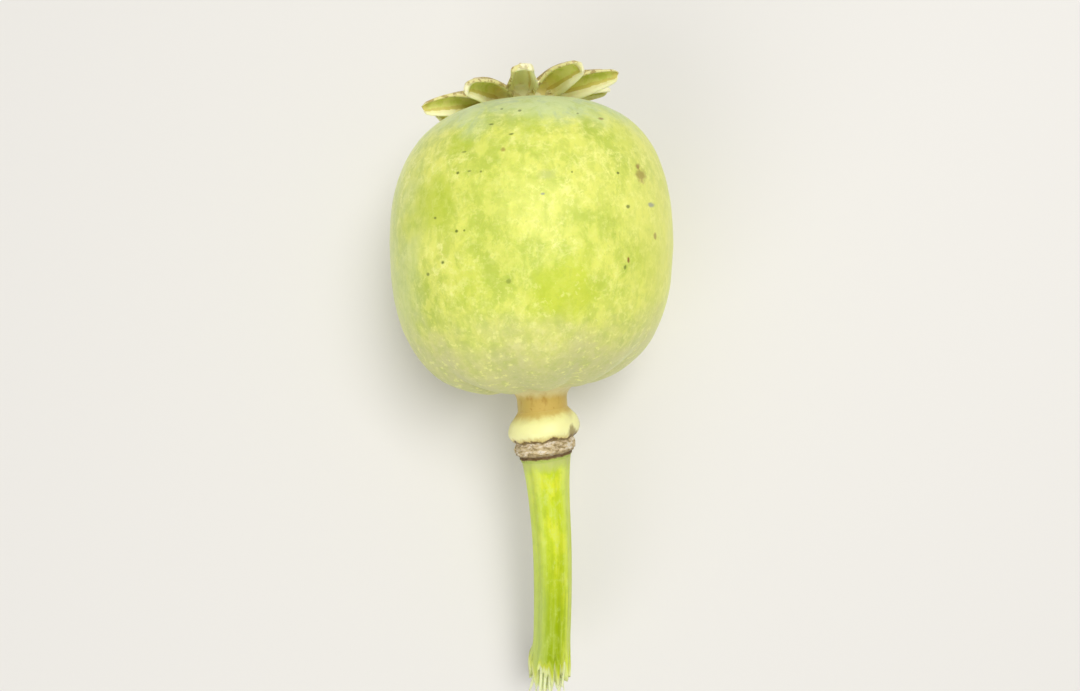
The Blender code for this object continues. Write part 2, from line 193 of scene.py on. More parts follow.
@dataclass(frozen=True)
class Form:
    """The head's driving sizes, in metres, as its solids have them."""

    pod_radius: float = 0.0208
    pod_top: float = 0.0209
    pod_base: float = 0.0204
    top_powers: tuple[float, float] = (2.5, 3.0)
    base_powers: tuple[float, float] = (2.4, 3.1)
    carpels: int = 10
    carpel_turn: float = math.radians(12)
    shoulder_rib: float = 0.011
    base_rib: float = 0.026
    side_rib: float = 0.0035
    base_sag: float = 0.0007
    body_skew: float = 0.042
    neck_radius: float = 0.00375
    neck_fillet: float = 0.0020
    neck_narrowest: float = 0.0226
    receptacle_top: float = 0.0242
    bulge_radius: float = 0.0054
    receptacle_end: float = 0.0311
    ring_lean: float = 0.075
    lean_start: float = 0.002
    lean_fade: float = 0.012
    stem_top_radius: float = 0.0037
    stem_radius: float = 0.0029
    stem_flare_length: float = 0.0045
    stem_end_flare: float = 0.0004
    stem_end: float = 0.0673
    stem_ribs: int = 9
    stem_rib_depth: float = 0.02
    stem_side_bend: float = 0.0019
    stem_side_bend_start: float = 0.042
    stem_droop: float = 0.0065
    stem_droop_start: float = 0.031
    crown_seat_radius: float = 0.0056
    crown_lean: float = math.radians(5.2)
    crown_lift: float = 0.0018
    pitch: float = math.radians(1.5)
    flat_depth: float = 0.00035

    def radius_at(self, height: float) -> float:
        """The round capsule's outline.

        Args:
            height: above or below its widest ring.

        Returns:
            Its radius there.
        """
        above = height > 0
        end, (bend, square) = (self.pod_top, self.top_powers) if above else (self.pod_base, self.base_powers)
        share = min(abs(height) / end, 1.0)
        return self.pod_radius * (1.0 - share**bend) ** (1.0 / square)

    def lying(self) -> Matrix:
        """Where the upright head lies: on its side, its lowest ring sunk by the flat spot's depth.

        Returns:
            The turn and shift from upright to lying.
        """
        turn = Euler((self.pitch - math.pi / 2, 0.0, 0.0)).to_matrix()
        heights = [0.012 * (step / 240 - 1.0) for step in range(481)]
        lowest = min((turn @ Vector((0.0, self.radius_at(z), z)) for z in heights), key=lambda p: p.z)
        return Matrix.Translation((0.0, -lowest.y, -lowest.z - self.flat_depth)) @ turn.to_4x4()


FORM = Form()


class Tree:
    """A geometry tree being built: named inputs, the geometry so far, and its ending."""

    def __init__(self, name: str) -> None:
        """Starts an empty tree.

        Args:
            name: what the tree makes.
        """
        self.nodes = bpy.data.node_groups.new(name, "GeometryNodeTree")
        self.nodes.interface.new_socket("Geometry", in_out="INPUT", socket_type="NodeSocketGeometry")
        self.nodes.interface.new_socket("Geometry", in_out="OUTPUT", socket_type="NodeSocketGeometry")
        self.entry = self.nodes.nodes.new("NodeGroupInput")
        self.values: dict[str, Any] = {}

    def number(self, name: str, value: float) -> Wire:
        """Adds a named size to the tree.

        Args:
            name: the input's name.
            value: its value on this piece.

        Returns:
            The input, for arithmetic.
        """
        kind = "NodeSocketInt" if isinstance(value, int) else "NodeSocketFloat"
        item = self.nodes.interface.new_socket(name, in_out="INPUT", socket_type=kind)
        self.values[item.identifier] = value
        return Wire(self.nodes, self.entry.outputs[name])

    def add(self, kind: str, links: dict | None = None, **settings: Any) -> Any:
        """Adds a node to the tree."""
        return add_node(self.nodes, kind, links, **settings)

    def wire(self, kind: str, output: str | int, links: dict | None = None, **settings: Any) -> Wire:
        """Adds a node and takes one of its outputs for arithmetic."""
        return Wire(self.nodes, self.add(kind, links, **settings).outputs[output])

    def attribute(self, name: str) -> Wire:
        """Reads a number kept on the geometry."""
        return self.wire("GeometryNodeInputNamedAttribute", "Attribute", {"Name": name}, data_type="FLOAT")

    def keep(self, geometry: Any, name: str, value: Any, data_type: str = "FLOAT") -> Any:
        """Keeps a number or a vector on the geometry's points.

        Args:
            geometry: the geometry's socket.
            name: the attribute's name.
            value: what to keep.
            data_type: FLOAT or FLOAT_VECTOR.

        Returns:
            The geometry's new socket.
        """
        links = {"Geometry": geometry, "Name": name, "Value": value}
        return self.add("GeometryNodeStoreNamedAttribute", links, data_type=data_type, domain="POINT").outputs[0]

    def place(self, geometry: Any, position: Any) -> Any:
        """Moves the geometry's points to a position."""
        return self.add("GeometryNodeSetPosition", {"Geometry": geometry, "Position": position}).outputs[0]

    def here(self) -> tuple[Wire, Wire, Wire]:
        """The points' own places."""
        return parted(self.nodes, self.add("GeometryNodeInputPosition").outputs[0])

    def keep_grown(self, geometry: Any) -> Any:
        """Keeps the points' upright places, for the finish."""
        return self.keep(geometry, GROWN, self.add("GeometryNodeInputPosition").outputs[0], "FLOAT_VECTOR")

    def finish(self, geometry: Any, material: bpy.types.Material) -> None:
        """Ends the tree: instances made real, points merged and the material set.

        Args:
            geometry: the finished geometry's socket.
            material: what it is dressed in.
        """
        real = self.add("GeometryNodeRealizeInstances", {"Geometry": geometry}).outputs[0]
        merged = self.add("GeometryNodeMergeByDistance", {"Geometry": real, "Distance": 2e-6}).outputs[0]
        shaded = self.add("GeometryNodeSetShadeSmooth", {"Geometry": merged}).outputs[0]
        dressed = self.add("GeometryNodeSetMaterial", {"Geometry": shaded, "Material": material}).outputs[0]
        self.nodes.links.new(dressed, self.nodes.nodes.new("NodeGroupOutput").inputs[0])

    def run(self, name: str, mesh: bpy.types.Mesh) -> bpy.types.Object:
        """Runs the tree on a mesh and keeps the result as a plain object.

        Args:
            name: the finished object's name.
            mesh: what the tree starts from.

        Returns:
            The object, at the origin, with no modifier.
        """
        piece = bpy.data.objects.new(name, mesh)
        bpy.context.scene.collection.objects.link(piece)
        modifier = piece.modifiers.new("grow", "NODES")
        modifier.node_group = self.nodes
        for identifier, value in self.values.items():
            modifier[identifier] = value
        graph = bpy.context.evaluated_depsgraph_get()
        made = bpy.data.meshes.new_from_object(piece.evaluated_get(graph), depsgraph=graph)
        piece.modifiers.clear()
        piece.data = made
        made.name = name
        return piece


def line_mesh(name: str, points: Sequence[Sequence[float]]) -> bpy.types.Mesh:
    """Makes a chain of points joined by edges.

    Args:
        name: the mesh's name.
        points: the points, in order.

    Returns:
        The mesh.
    """
    mesh = bpy.data.meshes.new(name)
    edges = [(i, i + 1) for i in range(len(points) - 1)]
    mesh.from_pydata([tuple(p) for p in points], edges, [])
    return mesh


def face_outwards(piece: bpy.types.Object) -> None:
    """Merges what meets and turns every face outwards.

    Args:
        piece: the piece, a closed skin.
    """
    shape = bmesh.new()
    shape.from_mesh(piece.data)
    bmesh.ops.remove_doubles(shape, verts=shape.verts, dist=1e-6)
    bmesh.ops.recalc_face_normals(shape, faces=shape.faces)
    shape.to_mesh(piece.data)
    shape.free()
    piece.data.shade_smooth()


def lean_rings(x: Any, z: Any) -> Any:
    """Tilts what lies about the receptacle, whose rings aren't square to the head's length.

    Args:
        x: sideways place.
        z: height.

    Returns:
        The leaning height.
    """
    low = FORM.pod_base + FORM.neck_fillet
    fading = (-z).step(FORM.receptacle_end, FORM.receptacle_end + FORM.lean_fade)
    return z + x * (-z).step(low, low + FORM.lean_start) * (1.0 - fading) * FORM.ring_lean


def on_circle(tree: Tree, angle: Wire) -> bpy.types.NodeSocket:
    """A place on a circle of radius 1, where a pattern that goes round has no seam."""
    return joined(tree.nodes, angle.work("COSINE"), angle.work("SINE"), 0.0)


def rounded_ends(share: Wire, start: float, end: float) -> Wire:
    """How open a tapered form is: 0 at both of its ends, with a round closing over start and end."""
    return (share.step(-0.02, start) * (1.0 - share.step(end, 1.0))).work("SQRT")


def turned_skin(tree: Tree, segments: int, rings: int, soft: bool) -> Any:
    """Turns the outline that the tree starts from about Z, as a skin of even rings.

    Args:
        tree: the tree, whose own geometry is the outline, top to bottom.
        segments: how many faces go round.
        rings: how many rows of faces go from top to bottom.
        soft: whether the outline runs as a smooth curve through its points.

    Returns:
        The skin's geometry socket.
    """
    around, down = tree.number("Segments", segments), tree.number("Rings", rings)
    path = tree.add("GeometryNodeMeshToCurve", {"Mesh": tree.entry.outputs[0]}).outputs[0]
    if soft:
        path = tree.add("GeometryNodeCurveSplineType", {"Curve": path}, spline_type="CATMULL_ROM").outputs[0]
        path = tree.add("GeometryNodeResampleCurve", {"Curve": path, "Count": down + 1.0}).outputs[0]
    sheet = {"Size X": 1.0, "Size Y": 1.0, "Vertices X": around + 1.0, "Vertices Y": down + 1.0}
    skin = tree.add("GeometryNodeMeshGrid", sheet).outputs["Mesh"]
    round_share, down_share, _ = tree.here()
    along = tree.add("GeometryNodeSampleCurve", {"Curves": path, "Factor": down_share + 0.5}, mode="FACTOR")
    radius, _, height = parted(tree.nodes, along.outputs["Position"])
    angle = (round_share + 0.5) * math.tau
    return tree.place(skin, joined(tree.nodes, radius * angle.work("COSINE"), radius * angle.work("SINE"), height))


def lay_down(piece: bpy.types.Object, floor: bool = False) -> None:
    """Lays an upright piece down where its solid is.

    Args:
        piece: the piece, still upright.
        floor: whether what would sink under the table is flattened on it.
    """
    piece.data.transform(FORM.lying())
    if floor:
        for vertex in piece.data.vertices:
            vertex.co.z = max(vertex.co.z, 0.0)
    face_outwards(piece)


def settle(piece: bpy.types.Object, node: str) -> None:
    """Puts a finished piece in the frame, in the place of its solid.

    Args:
        piece: the piece.
        node: the solid's node.
    """
    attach(piece, "root")
    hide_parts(node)
    LOG.info("%s: %d faces for %s", piece.name, len(piece.data.polygons), node)


@dataclass
class Pod:
    """The capsule: a barrel of shallow carpels over a short neck, with the skin's fine unevenness."""

    segments: int = 232
    rings: int = 300
    outline_steps: int = 120
    fillet_steps: int = 12
    seat_depth: float = 0.0004
    seat_share: float = 0.985
    neck_overlap: float = 0.0004
    lump: float = 0.00022
    lump_size: float = 0.0075
    pucker: float = 0.00003
    pucker_size: float = 0.0012

    def outline(self) -> list[tuple[float, float, float]]:
        """The outline from the crown's seat to the foot of the neck.

        Returns:
            Points in the XZ plane, x the radius, from top to bottom.
        """
        seat = FORM.pod_top - self.seat_depth
        points = [(0.0, seat), (FORM.crown_seat_radius, seat)]
        first = math.acos(self.seat_share)
        for step in range(self.outline_steps):
            height = FORM.pod_top * math.cos(mix(first, math.pi / 2, step / self.outline_steps))
            points.append((FORM.radius_at(height), height))
        for step in range(self.outline_steps):
            height = -FORM.pod_base * math.sin(math.pi / 2 * step / self.outline_steps)
            radius = FORM.radius_at(height)
            if radius > FORM.neck_radius + FORM.neck_fillet:
                points.append((radius, height))
        for step in range(self.fillet_steps + 1):
            turn = math.pi / 2 * step / self.fillet_steps
            radius = FORM.neck_radius + FORM.neck_fillet * (1.0 - math.sin(turn))
            points.append((radius, -FORM.pod_base - FORM.neck_fillet * (1.0 - math.cos(turn))))
        foot = -FORM.receptacle_top - self.neck_overlap
        points += [(FORM.neck_radius, -FORM.neck_narrowest), (FORM.neck_radius, foot), (0.0, foot)]
        return [(radius, 0.0, height) for radius, height in points]

    def build(self, material: bpy.types.Material) -> bpy.types.Object:
        """Grows the capsule's skin.

        Args:
            material: its finish.

        Returns:
            The finished piece, laid down.
        """
        tree = Tree("capsule_skin")
        skin = turned_skin(tree, self.segments, self.rings, soft=False)
        lump = tree.number("Lump height", self.lump)
        pucker = tree.number("Pucker height", self.pucker)
        x, y, z = tree.here()
        skin = tree.keep_grown(skin)
        radius = (x * x + y * y).work("SQRT")
        angle = y.work("ARCTAN2", x)
        below = (-z).step(0.45 * FORM.pod_base, 0.95 * FORM.pod_base)
        above = z.step(0.55 * FORM.pod_top, 0.95 * FORM.pod_top)
        on_pod = radius.step(FORM.neck_radius + 0.0004, FORM.neck_radius + 0.0044)
        depth = (below * FORM.base_rib + above * FORM.shoulder_rib + FORM.side_rib) * on_pod
        rib = ((angle + FORM.carpel_turn) * (FORM.carpels / 2)).work("COSINE").work("ABSOLUTE") - 0.6
        fine = {"Scale": 1.0 / self.pucker_size, "Detail": 3.0, "Roughness": 0.6}
        lumps = tree.wire("ShaderNodeTexNoise", 0, {"Scale": 1.0 / self.lump_size, "Detail": 2.0})
        puckers = tree.wire("ShaderNodeTexNoise", 0, fine)
        uneven = ((lumps - 0.5) * lump + (puckers - 0.5) * pucker) * on_pod / FORM.pod_radius
        swell = depth * rib + 1.0 + uneven * 2.0
        sag = below * on_pod * (1.0 - angle.work("COSINE")) * (FORM.base_sag / 2)
        reach = (FORM.pod_radius - FORM.crown_seat_radius) / 1.6
        skew = z * radius.step(FORM.crown_seat_radius, FORM.crown_seat_radius + reach) * FORM.body_skew
        shifted = x * swell + skew
        low = z * (1.0 + (swell - 1.0) * below) - sag
        skin = tree.place(skin, joined(tree.nodes, shifted, y * swell, lean_rings(shifted, low)))
        tree.finish(skin, material)
        pod = tree.run("pod_skin", line_mesh("capsule_outline", self.outline()))
        lay_down(pod, floor=True)
        return pod


@dataclass
class Receptacle:
    """The swollen stem tip: a cream bulge over the scars that the petals and stamens left."""

    segments: int = 200
    rings: int = 150
    ragged: float = 0.00042
    grain_size: float = 0.00075

    def outline(self) -> list[tuple[float, float, float]]:
        """The outline: round over the bulge, in at the upper scar, out over the scar band.

        Returns:
            Points in the XZ plane, x the radius, from top to bottom.
        """
        top, bulge, end = FORM.receptacle_top, FORM.bulge_radius, FORM.receptacle_end
        profile = (
            (0.0, top - 0.0012),
            (FORM.neck_radius - 0.0009, top - 0.0012),
            (FORM.neck_radius - 0.0002, top - 0.0007),
            (FORM.neck_radius + 0.00022, top - 0.00005),
            (bulge - 0.0009, top + 0.0006),
            (bulge - 0.00035, top + 0.0013),
            (bulge, top + 0.0024),
            (bulge - 0.0001, top + 0.0031),
            (bulge - 0.0005, top + 0.0037),
            (bulge - 0.0012, top + 0.0042),
            (bulge - 0.0010, top + 0.0046),
            (bulge - 0.0009, top + 0.0054),
            (bulge - 0.0011, top + 0.0060),
            (bulge - 0.0016, top + 0.0063),
            (bulge - 0.0014, top + 0.0066),
            (FORM.stem_top_radius, end),
            (FORM.stem_top_radius - 0.0002, end + 0.0002),
            (0.0, end + 0.0002),
        )
        return [(radius, 0.0, -depth) for radius, depth in profile]

    def build(self, material: bpy.types.Material) -> bpy.types.Object:
        """Grows the receptacle.

        Args:
            material: its finish.

        Returns:
            The finished piece, laid down.
        """
        tree = Tree("receptacle_skin")
        skin = turned_skin(tree, self.segments, self.rings, soft=True)
        ragged = tree.number("Scar raggedness", self.ragged)
        x, y, z = tree.here()
        skin = tree.keep_grown(skin)
        depth = -z - FORM.receptacle_top
        angle = y.work("ARCTAN2", x)
        scar = depth.step(0.0038, 0.0044) * (1.0 - depth.step(0.0064, 0.0067))
        ripple = (angle * 11.0 + depth * 900.0).work("SINE") * 0.014
        flat = joined(tree.nodes, x, y, z * 2.4)
        grain = tree.wire("ShaderNodeTexNoise", 0, {"Vector": flat, "Scale": 1.0 / self.grain_size, "Detail": 3.0})
        teeth = tree.wire("ShaderNodeTexNoise", 0, {"Vector": on_circle(tree, angle), "Scale": 3.4, "Detail": 4.0})
        lip = depth.step(0.0024, 0.0038) * (1.0 - depth.step(0.0040, 0.0048))
        grow = scar * (ripple + (grain - 0.5) * ragged / FORM.bulge_radius * 3.0) + 1.0
        z = z - (teeth - 0.5) * lip * ragged * 2.6
        skin = tree.place(skin, joined(tree.nodes, x * grow, y * grow, lean_rings(x, z)))
        tree.finish(skin, material)
        piece = tree.run("receptacle_skin", line_mesh("receptacle_outline", self.outline()))
        lay_down(piece)
        return piece


@dataclass
class Stem:
    """The bent, ribbed stem with its torn end: ragged skin and the fibres that pulled out of it."""

    segments: int = 144
    rings: int = 260
    tear_depth: float = 0.0030
    overlap: float = 0.0003
    fibres: int = 42
    fibre_length: tuple[float, float] = (0.0010, 0.0046)
    fibre_radius: tuple[float, float] = (0.00016, 0.00042)
    fibre_sink: float = 0.0034
    fibre_lean: tuple[float, float] = (-0.16, 0.24)
    fibre_bow: tuple[float, float] = (-0.50, 0.50)
    fibre_curl: float = 220.0
    outline_steps: int = 60
    flare_zone: float = 0.008
    tear_zone: float = 0.0070

    def outline(self) -> list[tuple[float, float, float]]:
        """The outline, from inside the receptacle to the torn end.

        Returns:
            Points in the XZ plane, x the radius, from top to bottom.
        """
        start = FORM.receptacle_end - self.overlap
        points = [(0.0, start)]
        for step in range(self.outline_steps + 1):
            depth = mix(start, FORM.stem_end, step / self.outline_steps)
            flare = math.exp(-max(depth - FORM.receptacle_end, 0.0) / FORM.stem_flare_length)
            frayed = smooth((depth - FORM.stem_end + self.flare_zone) / self.flare_zone)
            radius = mix(FORM.stem_radius, FORM.stem_top_radius, flare) + FORM.stem_end_flare * frayed
            points.append((radius, depth))
        points.append((0.0, FORM.stem_end - 0.0006))
        return [(radius, 0.0, -depth) for radius, depth in points]

    def bend(self, depth: Wire) -> tuple[Wire, Wire]:
        """How far the stem's middle has moved from a straight one.

        Args:
            depth: how far down the stem.

        Returns:
            The shift sideways, and the droop.
        """
        side_span = FORM.stem_end - FORM.stem_side_bend_start
        droop_span = FORM.stem_end - FORM.stem_droop_start
        side = ((depth - FORM.stem_side_bend_start) / side_span).work("MAXIMUM", 0.0)
        droop = ((depth - FORM.stem_droop_start) / droop_span).work("MAXIMUM", 0.0)
        return side**1.6 * -FORM.stem_side_bend, droop * droop * FORM.stem_droop

    def fibre_skins(self, tree: Tree) -> Any:
        """Grows the fibres out of the torn end: a spiral of tapered, bowed threads.

        Args:
            tree: the stem's tree.

        Returns:
            The fibres' geometry socket.
        """
        count = tree.number("Fibres", self.fibres)
        ring_size = tree.number("Fibre ring", FORM.stem_radius * 0.93)
        sink = tree.number("Fibre sink", self.fibre_sink)
        seed = tree.number("Seed", SEED)
        dots = tree.add("GeometryNodeMeshLine", {"Count": count}).outputs[0]
        index = tree.wire("GeometryNodeInputIndex", 0)
        spreads = {
            "long": self.fibre_length,
            "thick": self.fibre_radius,
            "lean": self.fibre_lean,
            "bow": self.fibre_bow,
        }
        for number, (name, (low, high)) in enumerate(spreads.items()):
            links = {2: low, 3: high, "Seed": seed + float(number)}
            dots = tree.keep(dots, name, tree.add("FunctionNodeRandomValue", links).outputs[1])
        dots = tree.keep(dots, "spin", index * math.pi * (3.0 - math.sqrt(5.0)))
        dots = tree.keep(dots, "ring", ((index + 0.5) / count).work("SQRT") * ring_size)
        skin = tree.add(
            "GeometryNodeMeshGrid", {"Size X": 1.0, "Size Y": 1.0, "Vertices X": 11, "Vertices Y": 17}
        ).outputs["Mesh"]
        u, v, _ = tree.here()
        skin = tree.keep(skin, "turn", (u + 0.5) * math.tau)
        skin = tree.keep(skin, "share", v + 0.5)
        scatter = tree.add("GeometryNodeInstanceOnPoints", {"Points": dots, "Instance": skin}).outputs[0]
        skin = tree.add("GeometryNodeRealizeInstances", {"Geometry": scatter}).outputs[0]
        turn, share = tree.attribute("turn"), tree.attribute("share")
        spin, ring, bow = tree.attribute("spin"), tree.attribute("ring"), tree.attribute("bow")
        run = (tree.attribute("long") + sink) * share - sink
        free = run.work("MAXIMUM", 0.0)
        closing = rounded_ends(share, 0.06, 0.92)
        thread = tree.attribute("thick") * (1.0 - share * share * 0.65) * closing
        out = ring + free * tree.attribute("lean") + thread * turn.work("COSINE")
        aside = thread * turn.work("SINE") + free * free * self.fibre_curl * bow
        x = out * spin.work("COSINE") - aside * spin.work("SINE")
        y = out * spin.work("SINE") + aside * spin.work("COSINE")
        depth = run + FORM.stem_end
        skin = tree.keep(skin, GROWN, joined(tree.nodes, x, y, -depth), "FLOAT_VECTOR")
        sideways, down = self.bend(depth)
        skin = tree.place(skin, joined(tree.nodes, x + sideways, y + down, -depth))
        return tree.keep(skin, "fibre", 1.0)

    def build(self, material: bpy.types.Material) -> bpy.types.Object:
        """Grows the stem.

        Args:
            material: its finish.

        Returns:
            The finished piece, laid down.
        """
        tree = Tree("stem_skin")
        skin = turned_skin(tree, self.segments, self.rings, soft=False)
        ribs = tree.number("Rib depth", FORM.stem_rib_depth)
        tear = tree.number("Tear depth", self.tear_depth)
        x, y, z = tree.here()
        skin = tree.keep_grown(skin)
        depth = -z
        angle = y.work("ARCTAN2", x)
        radius = (x * x + y * y).work("SQRT")
        rib = (angle * float(FORM.stem_ribs)).work("COSINE") * ribs
        strand = tree.wire("ShaderNodeTexNoise", 0, {"Vector": on_circle(tree, angle), "Scale": 5.0, "Detail": 3.0})
        near_end = depth.step(FORM.stem_end - self.tear_zone, FORM.stem_end)
        at_skin = radius.step(0.0012, FORM.stem_radius)
        ragged = (strand.step(0.35, 0.62) - 0.1) * near_end * at_skin * tear
        grow = rib + (strand - 0.5) * 0.03 + 1.0
        aside, down = self.bend(depth)
        shifted = x * grow
        place = joined(tree.nodes, shifted + aside, y * grow + down, lean_rings(shifted, z + ragged))
        skin = tree.keep(tree.place(skin, place), "fibre", 0.0)
        whole = tree.add("GeometryNodeJoinGeometry", {"Geometry": skin})
        tree.nodes.links.new(self.fibre_skins(tree), whole.inputs[0])
        tree.finish(whole.outputs[0], material)
        piece = tree.run("stem_skin", line_mesh("stem_outline", self.outline()))
        lay_down(piece)
        return piece


@dataclass(frozen=True)
class Lobe:
    """One lobe of the crown.

    direction is in degrees from +X towards -Y, reach and width are shares of the lobe's usual
    sizes, tip is half the width of its tip, rise is how far its tip stands up, roll is its turn
    about its own length, and fold is how far its margins hang below its ray.
    """

    direction: float
    reach: float
    width: float
    tip: float
    rise: float
    roll: float
    fold: float


@dataclass
class Crown:
    """The stigma's crown: a stalk and plate, with a folded lobe and a raised ray for each carpel."""

    lobes: tuple[Lobe, ...] = (
        Lobe(20, 1.01, 0.90, 0.0003, -0.0002, -34, 0.0016),
        Lobe(53, 0.95, 0.98, 0.0006, 0.0000, -30, 0.0016),
        Lobe(88, 0.90, 0.76, 0.0019, 0.0004, 3, 0.0011),
        Lobe(122, 0.93, 0.86, 0.0008, -0.0004, 28, 0.0015),
        Lobe(162, 1.01, 0.90, 0.0003, -0.0004, 34, 0.0012),
        Lobe(199, 0.94, 0.95, 0.0006, 0.0004, 9, 0.0009),
        Lobe(235, 0.98, 1.00, 0.0005, 0.0006, 6, 0.0013),
        Lobe(270, 0.93, 0.95, 0.0007, 0.0002, -4, 0.0014),
        Lobe(305, 0.99, 1.00, 0.0005, 0.0005, -9, 0.0014),
        Lobe(342, 0.97, 0.95, 0.0006, 0.0004, -8, 0.0014),
    )
    reach: float = 0.0150
    root: float = 0.0024
    root_half_width: float = 0.0009
    half_width: float = 0.0022
    widest: float = 0.42
    arch: float = 0.0008
    roll_from: float = 0.20
    roll_to: float = 0.75
    rim: float = 0.00044
    web: float = 0.00018
    ray_radius: float = 0.00052
    ray_start: float = 0.0001
    ray_reach: float = 0.86
    ray_height: float = 0.00038
    bead_sink: float = 0.00032
    plate_radius: float = 0.0058
    plate_dome: float = 0.0009
    stalk_radii: tuple[float, float] = (0.0050, 0.0054)
    stalk_sink: float = 0.0008
    around: int = 44
    along: int = 90
    voxel: float = 0.00015

    def scatter(self, tree: Tree) -> Any:
        """Puts a sheet for a blade and a sheet for a ray on each point.

        Args:
            tree: the crown's tree, whose own geometry is the points.

        Returns:
            The sheets' geometry socket, made real, with "turn", "share" and "ray" kept on it.
        """
        around = tree.number("Faces round", self.around)
        along = tree.number("Faces along", self.along)
        sheet = {"Size X": 1.0, "Size Y": 1.0, "Vertices X": around + 1.0, "Vertices Y": along + 1.0}
        skins = []
        for ray in (0.0, 1.0):
            skin = tree.add("GeometryNodeMeshGrid", sheet).outputs["Mesh"]
            u, v, _ = tree.here()
            skin = tree.keep(skin, "turn", (u + 0.5) * math.tau)
            skin = tree.keep(skin, "share", 0.5 - ((v + 0.5) * math.pi).work("COSINE") * 0.5)
            skin = tree.keep(skin, "ray", ray)
            links = {"Points": tree.entry.outputs[0], "Instance": skin}
            skins.append(tree.add("GeometryNodeInstanceOnPoints", links).outputs[0])
        both = tree.add("GeometryNodeJoinGeometry", {"Geometry": skins[0]})
        tree.nodes.links.new(skins[1], both.inputs[0])
        return tree.add("GeometryNodeRealizeInstances", {"Geometry": both.outputs[0]}).outputs[0]

    def half_wide(self, share: Wire, tip: Wire, width: Wire) -> Wire:
        """How wide a blade is on either side of its ray.

        Args:
            share: how far along the blade, from 0 to 1.
            tip: half the width of its tip.
            width: its own width, which only the outer half takes.

        Returns:
            The half width.
        """
        before = (share * (math.pi / 2 / self.widest)).work("SINE") * (self.half_width - self.root_half_width)
        beyond = ((share - self.widest) / (1.0 - self.widest)).work("MAXIMUM", 0.0)
        after = (1.0 - beyond * beyond).work("MAXIMUM", 0.0).work("SQRT")
        tapered = after * (tip * -1.0 + self.half_width) + tip
        wide = (before + self.root_half_width).toward(tapered, share.work("GREATER_THAN", self.widest))
        return wide * width.toward(1.0, 1.0 - share.step(0.42, 0.80))

    def lobe_tree(self, material: bpy.types.Material) -> Tree:
        """Builds the tree that grows a thick-rimmed blade and its ray from each point it is given.

        Args:
            material: what the tree dresses them in.

        Returns:
            The tree, ready to run.
        """
        tree = Tree("crown_lobes")
        skin = self.scatter(tree)
        rim = tree.number("Rim half thickness", self.rim)
        web = tree.number("Web half thickness", self.web)
        bar = tree.number("Ray radius", self.ray_radius)
        turn, share, ray = tree.attribute("turn"), tree.attribute("share"), tree.attribute("ray")
        reach, width = tree.attribute("reach"), tree.attribute("width")
        rise, roll, fold = tree.attribute("rise"), tree.attribute("roll"), tree.attribute("fold")
        tip, direction = tree.attribute("tip"), tree.attribute("direction")
        # across the blade: 0 on its ray, 1 and -1 on its margins, and near is 1 on the upper one
        across = turn.work("COSINE")
        edge = across.work("ABSOLUTE")
        near = across * (direction - math.pi / 2).work("SIGN")
        quarter = (across * (math.pi / 2)).work("SINE")
        blunt = (tip * 1100.0).work("MINIMUM", 1.0)
        closing = rounded_ends(share, 0.05, 0.95)
        side = self.half_wide(share, tip, width) * across * closing
        # the margins hang below the ray and swell into beads, thinner towards a pointed tip
        hang = ((share**0.8) * math.pi).work("SINE").work("MAXIMUM", 0.0) ** 0.7 * fold
        end_bead = share.step(0.84, 0.95) * blunt
        bead = edge.step(0.50, 0.82).work("MAXIMUM", end_bead) * (1.05 - near * 0.4)
        slender = 1.0 - share.step(0.60, 1.0) * (1.0 - blunt) * 0.55
        off_edge = ((edge - 0.78) / 0.22).work("MAXIMUM", 0.0)
        rounded = (1.0 - off_edge * off_edge).work("MAXIMUM", 0.0).work("SQRT")
        thick = web.toward(rim, bead) * slender * rounded * turn.work("SINE").work("SIGN") * closing
        level = thick - hang * quarter * quarter - bead * closing * self.bead_sink
        # the blade rolls about its own length
        angle = roll * share.step(self.roll_from, self.roll_to)
        turned = side * angle.work("COSINE") - level * angle.work("SINE")
        height = side * angle.work("SINE") + level * angle.work("COSINE")
        # the ray runs straight along it, on top
        out = (reach * self.reach - self.root) * share + self.root
        ray_out = (reach * self.reach * self.ray_reach - self.ray_start) * share + self.ray_start
        ray_share = ((ray_out - self.root) / (reach * self.reach - self.root)).work("MAXIMUM", 0.0)
        thin = bar * closing * (1.0 - share * 0.25 - share.step(0.60, 1.0) * 0.35)
        turned = turned.toward(across * thin, ray)
        height = height.toward(turn.work("SINE") * thin + self.ray_height, ray)
        out = out.toward(ray_out, ray)
        run = share.toward(ray_share, ray)
        lift = rise * run**1.5 + (run * math.pi).work("SINE") * self.arch
        out_x = out * direction.work("COSINE") + turned * direction.work("SINE")
        out_y = turned * direction.work("COSINE") - out * direction.work("SINE")
        margin = edge.step(0.22, 0.92).work("MAXIMUM", end_bead)
        skin = tree.keep(skin, "rim", margin * (1.0 - ray))
        skin = tree.keep(skin, "near", near)
        skin = tree.place(skin, joined(tree.nodes, out_x, out_y, lift + height))
        whole = tree.add("GeometryNodeJoinGeometry", {"Geometry": skin})
        tree.nodes.links.new(self.middle(tree), whole.inputs[0])
        tree.finish(whole.outputs[0], material)
        return tree

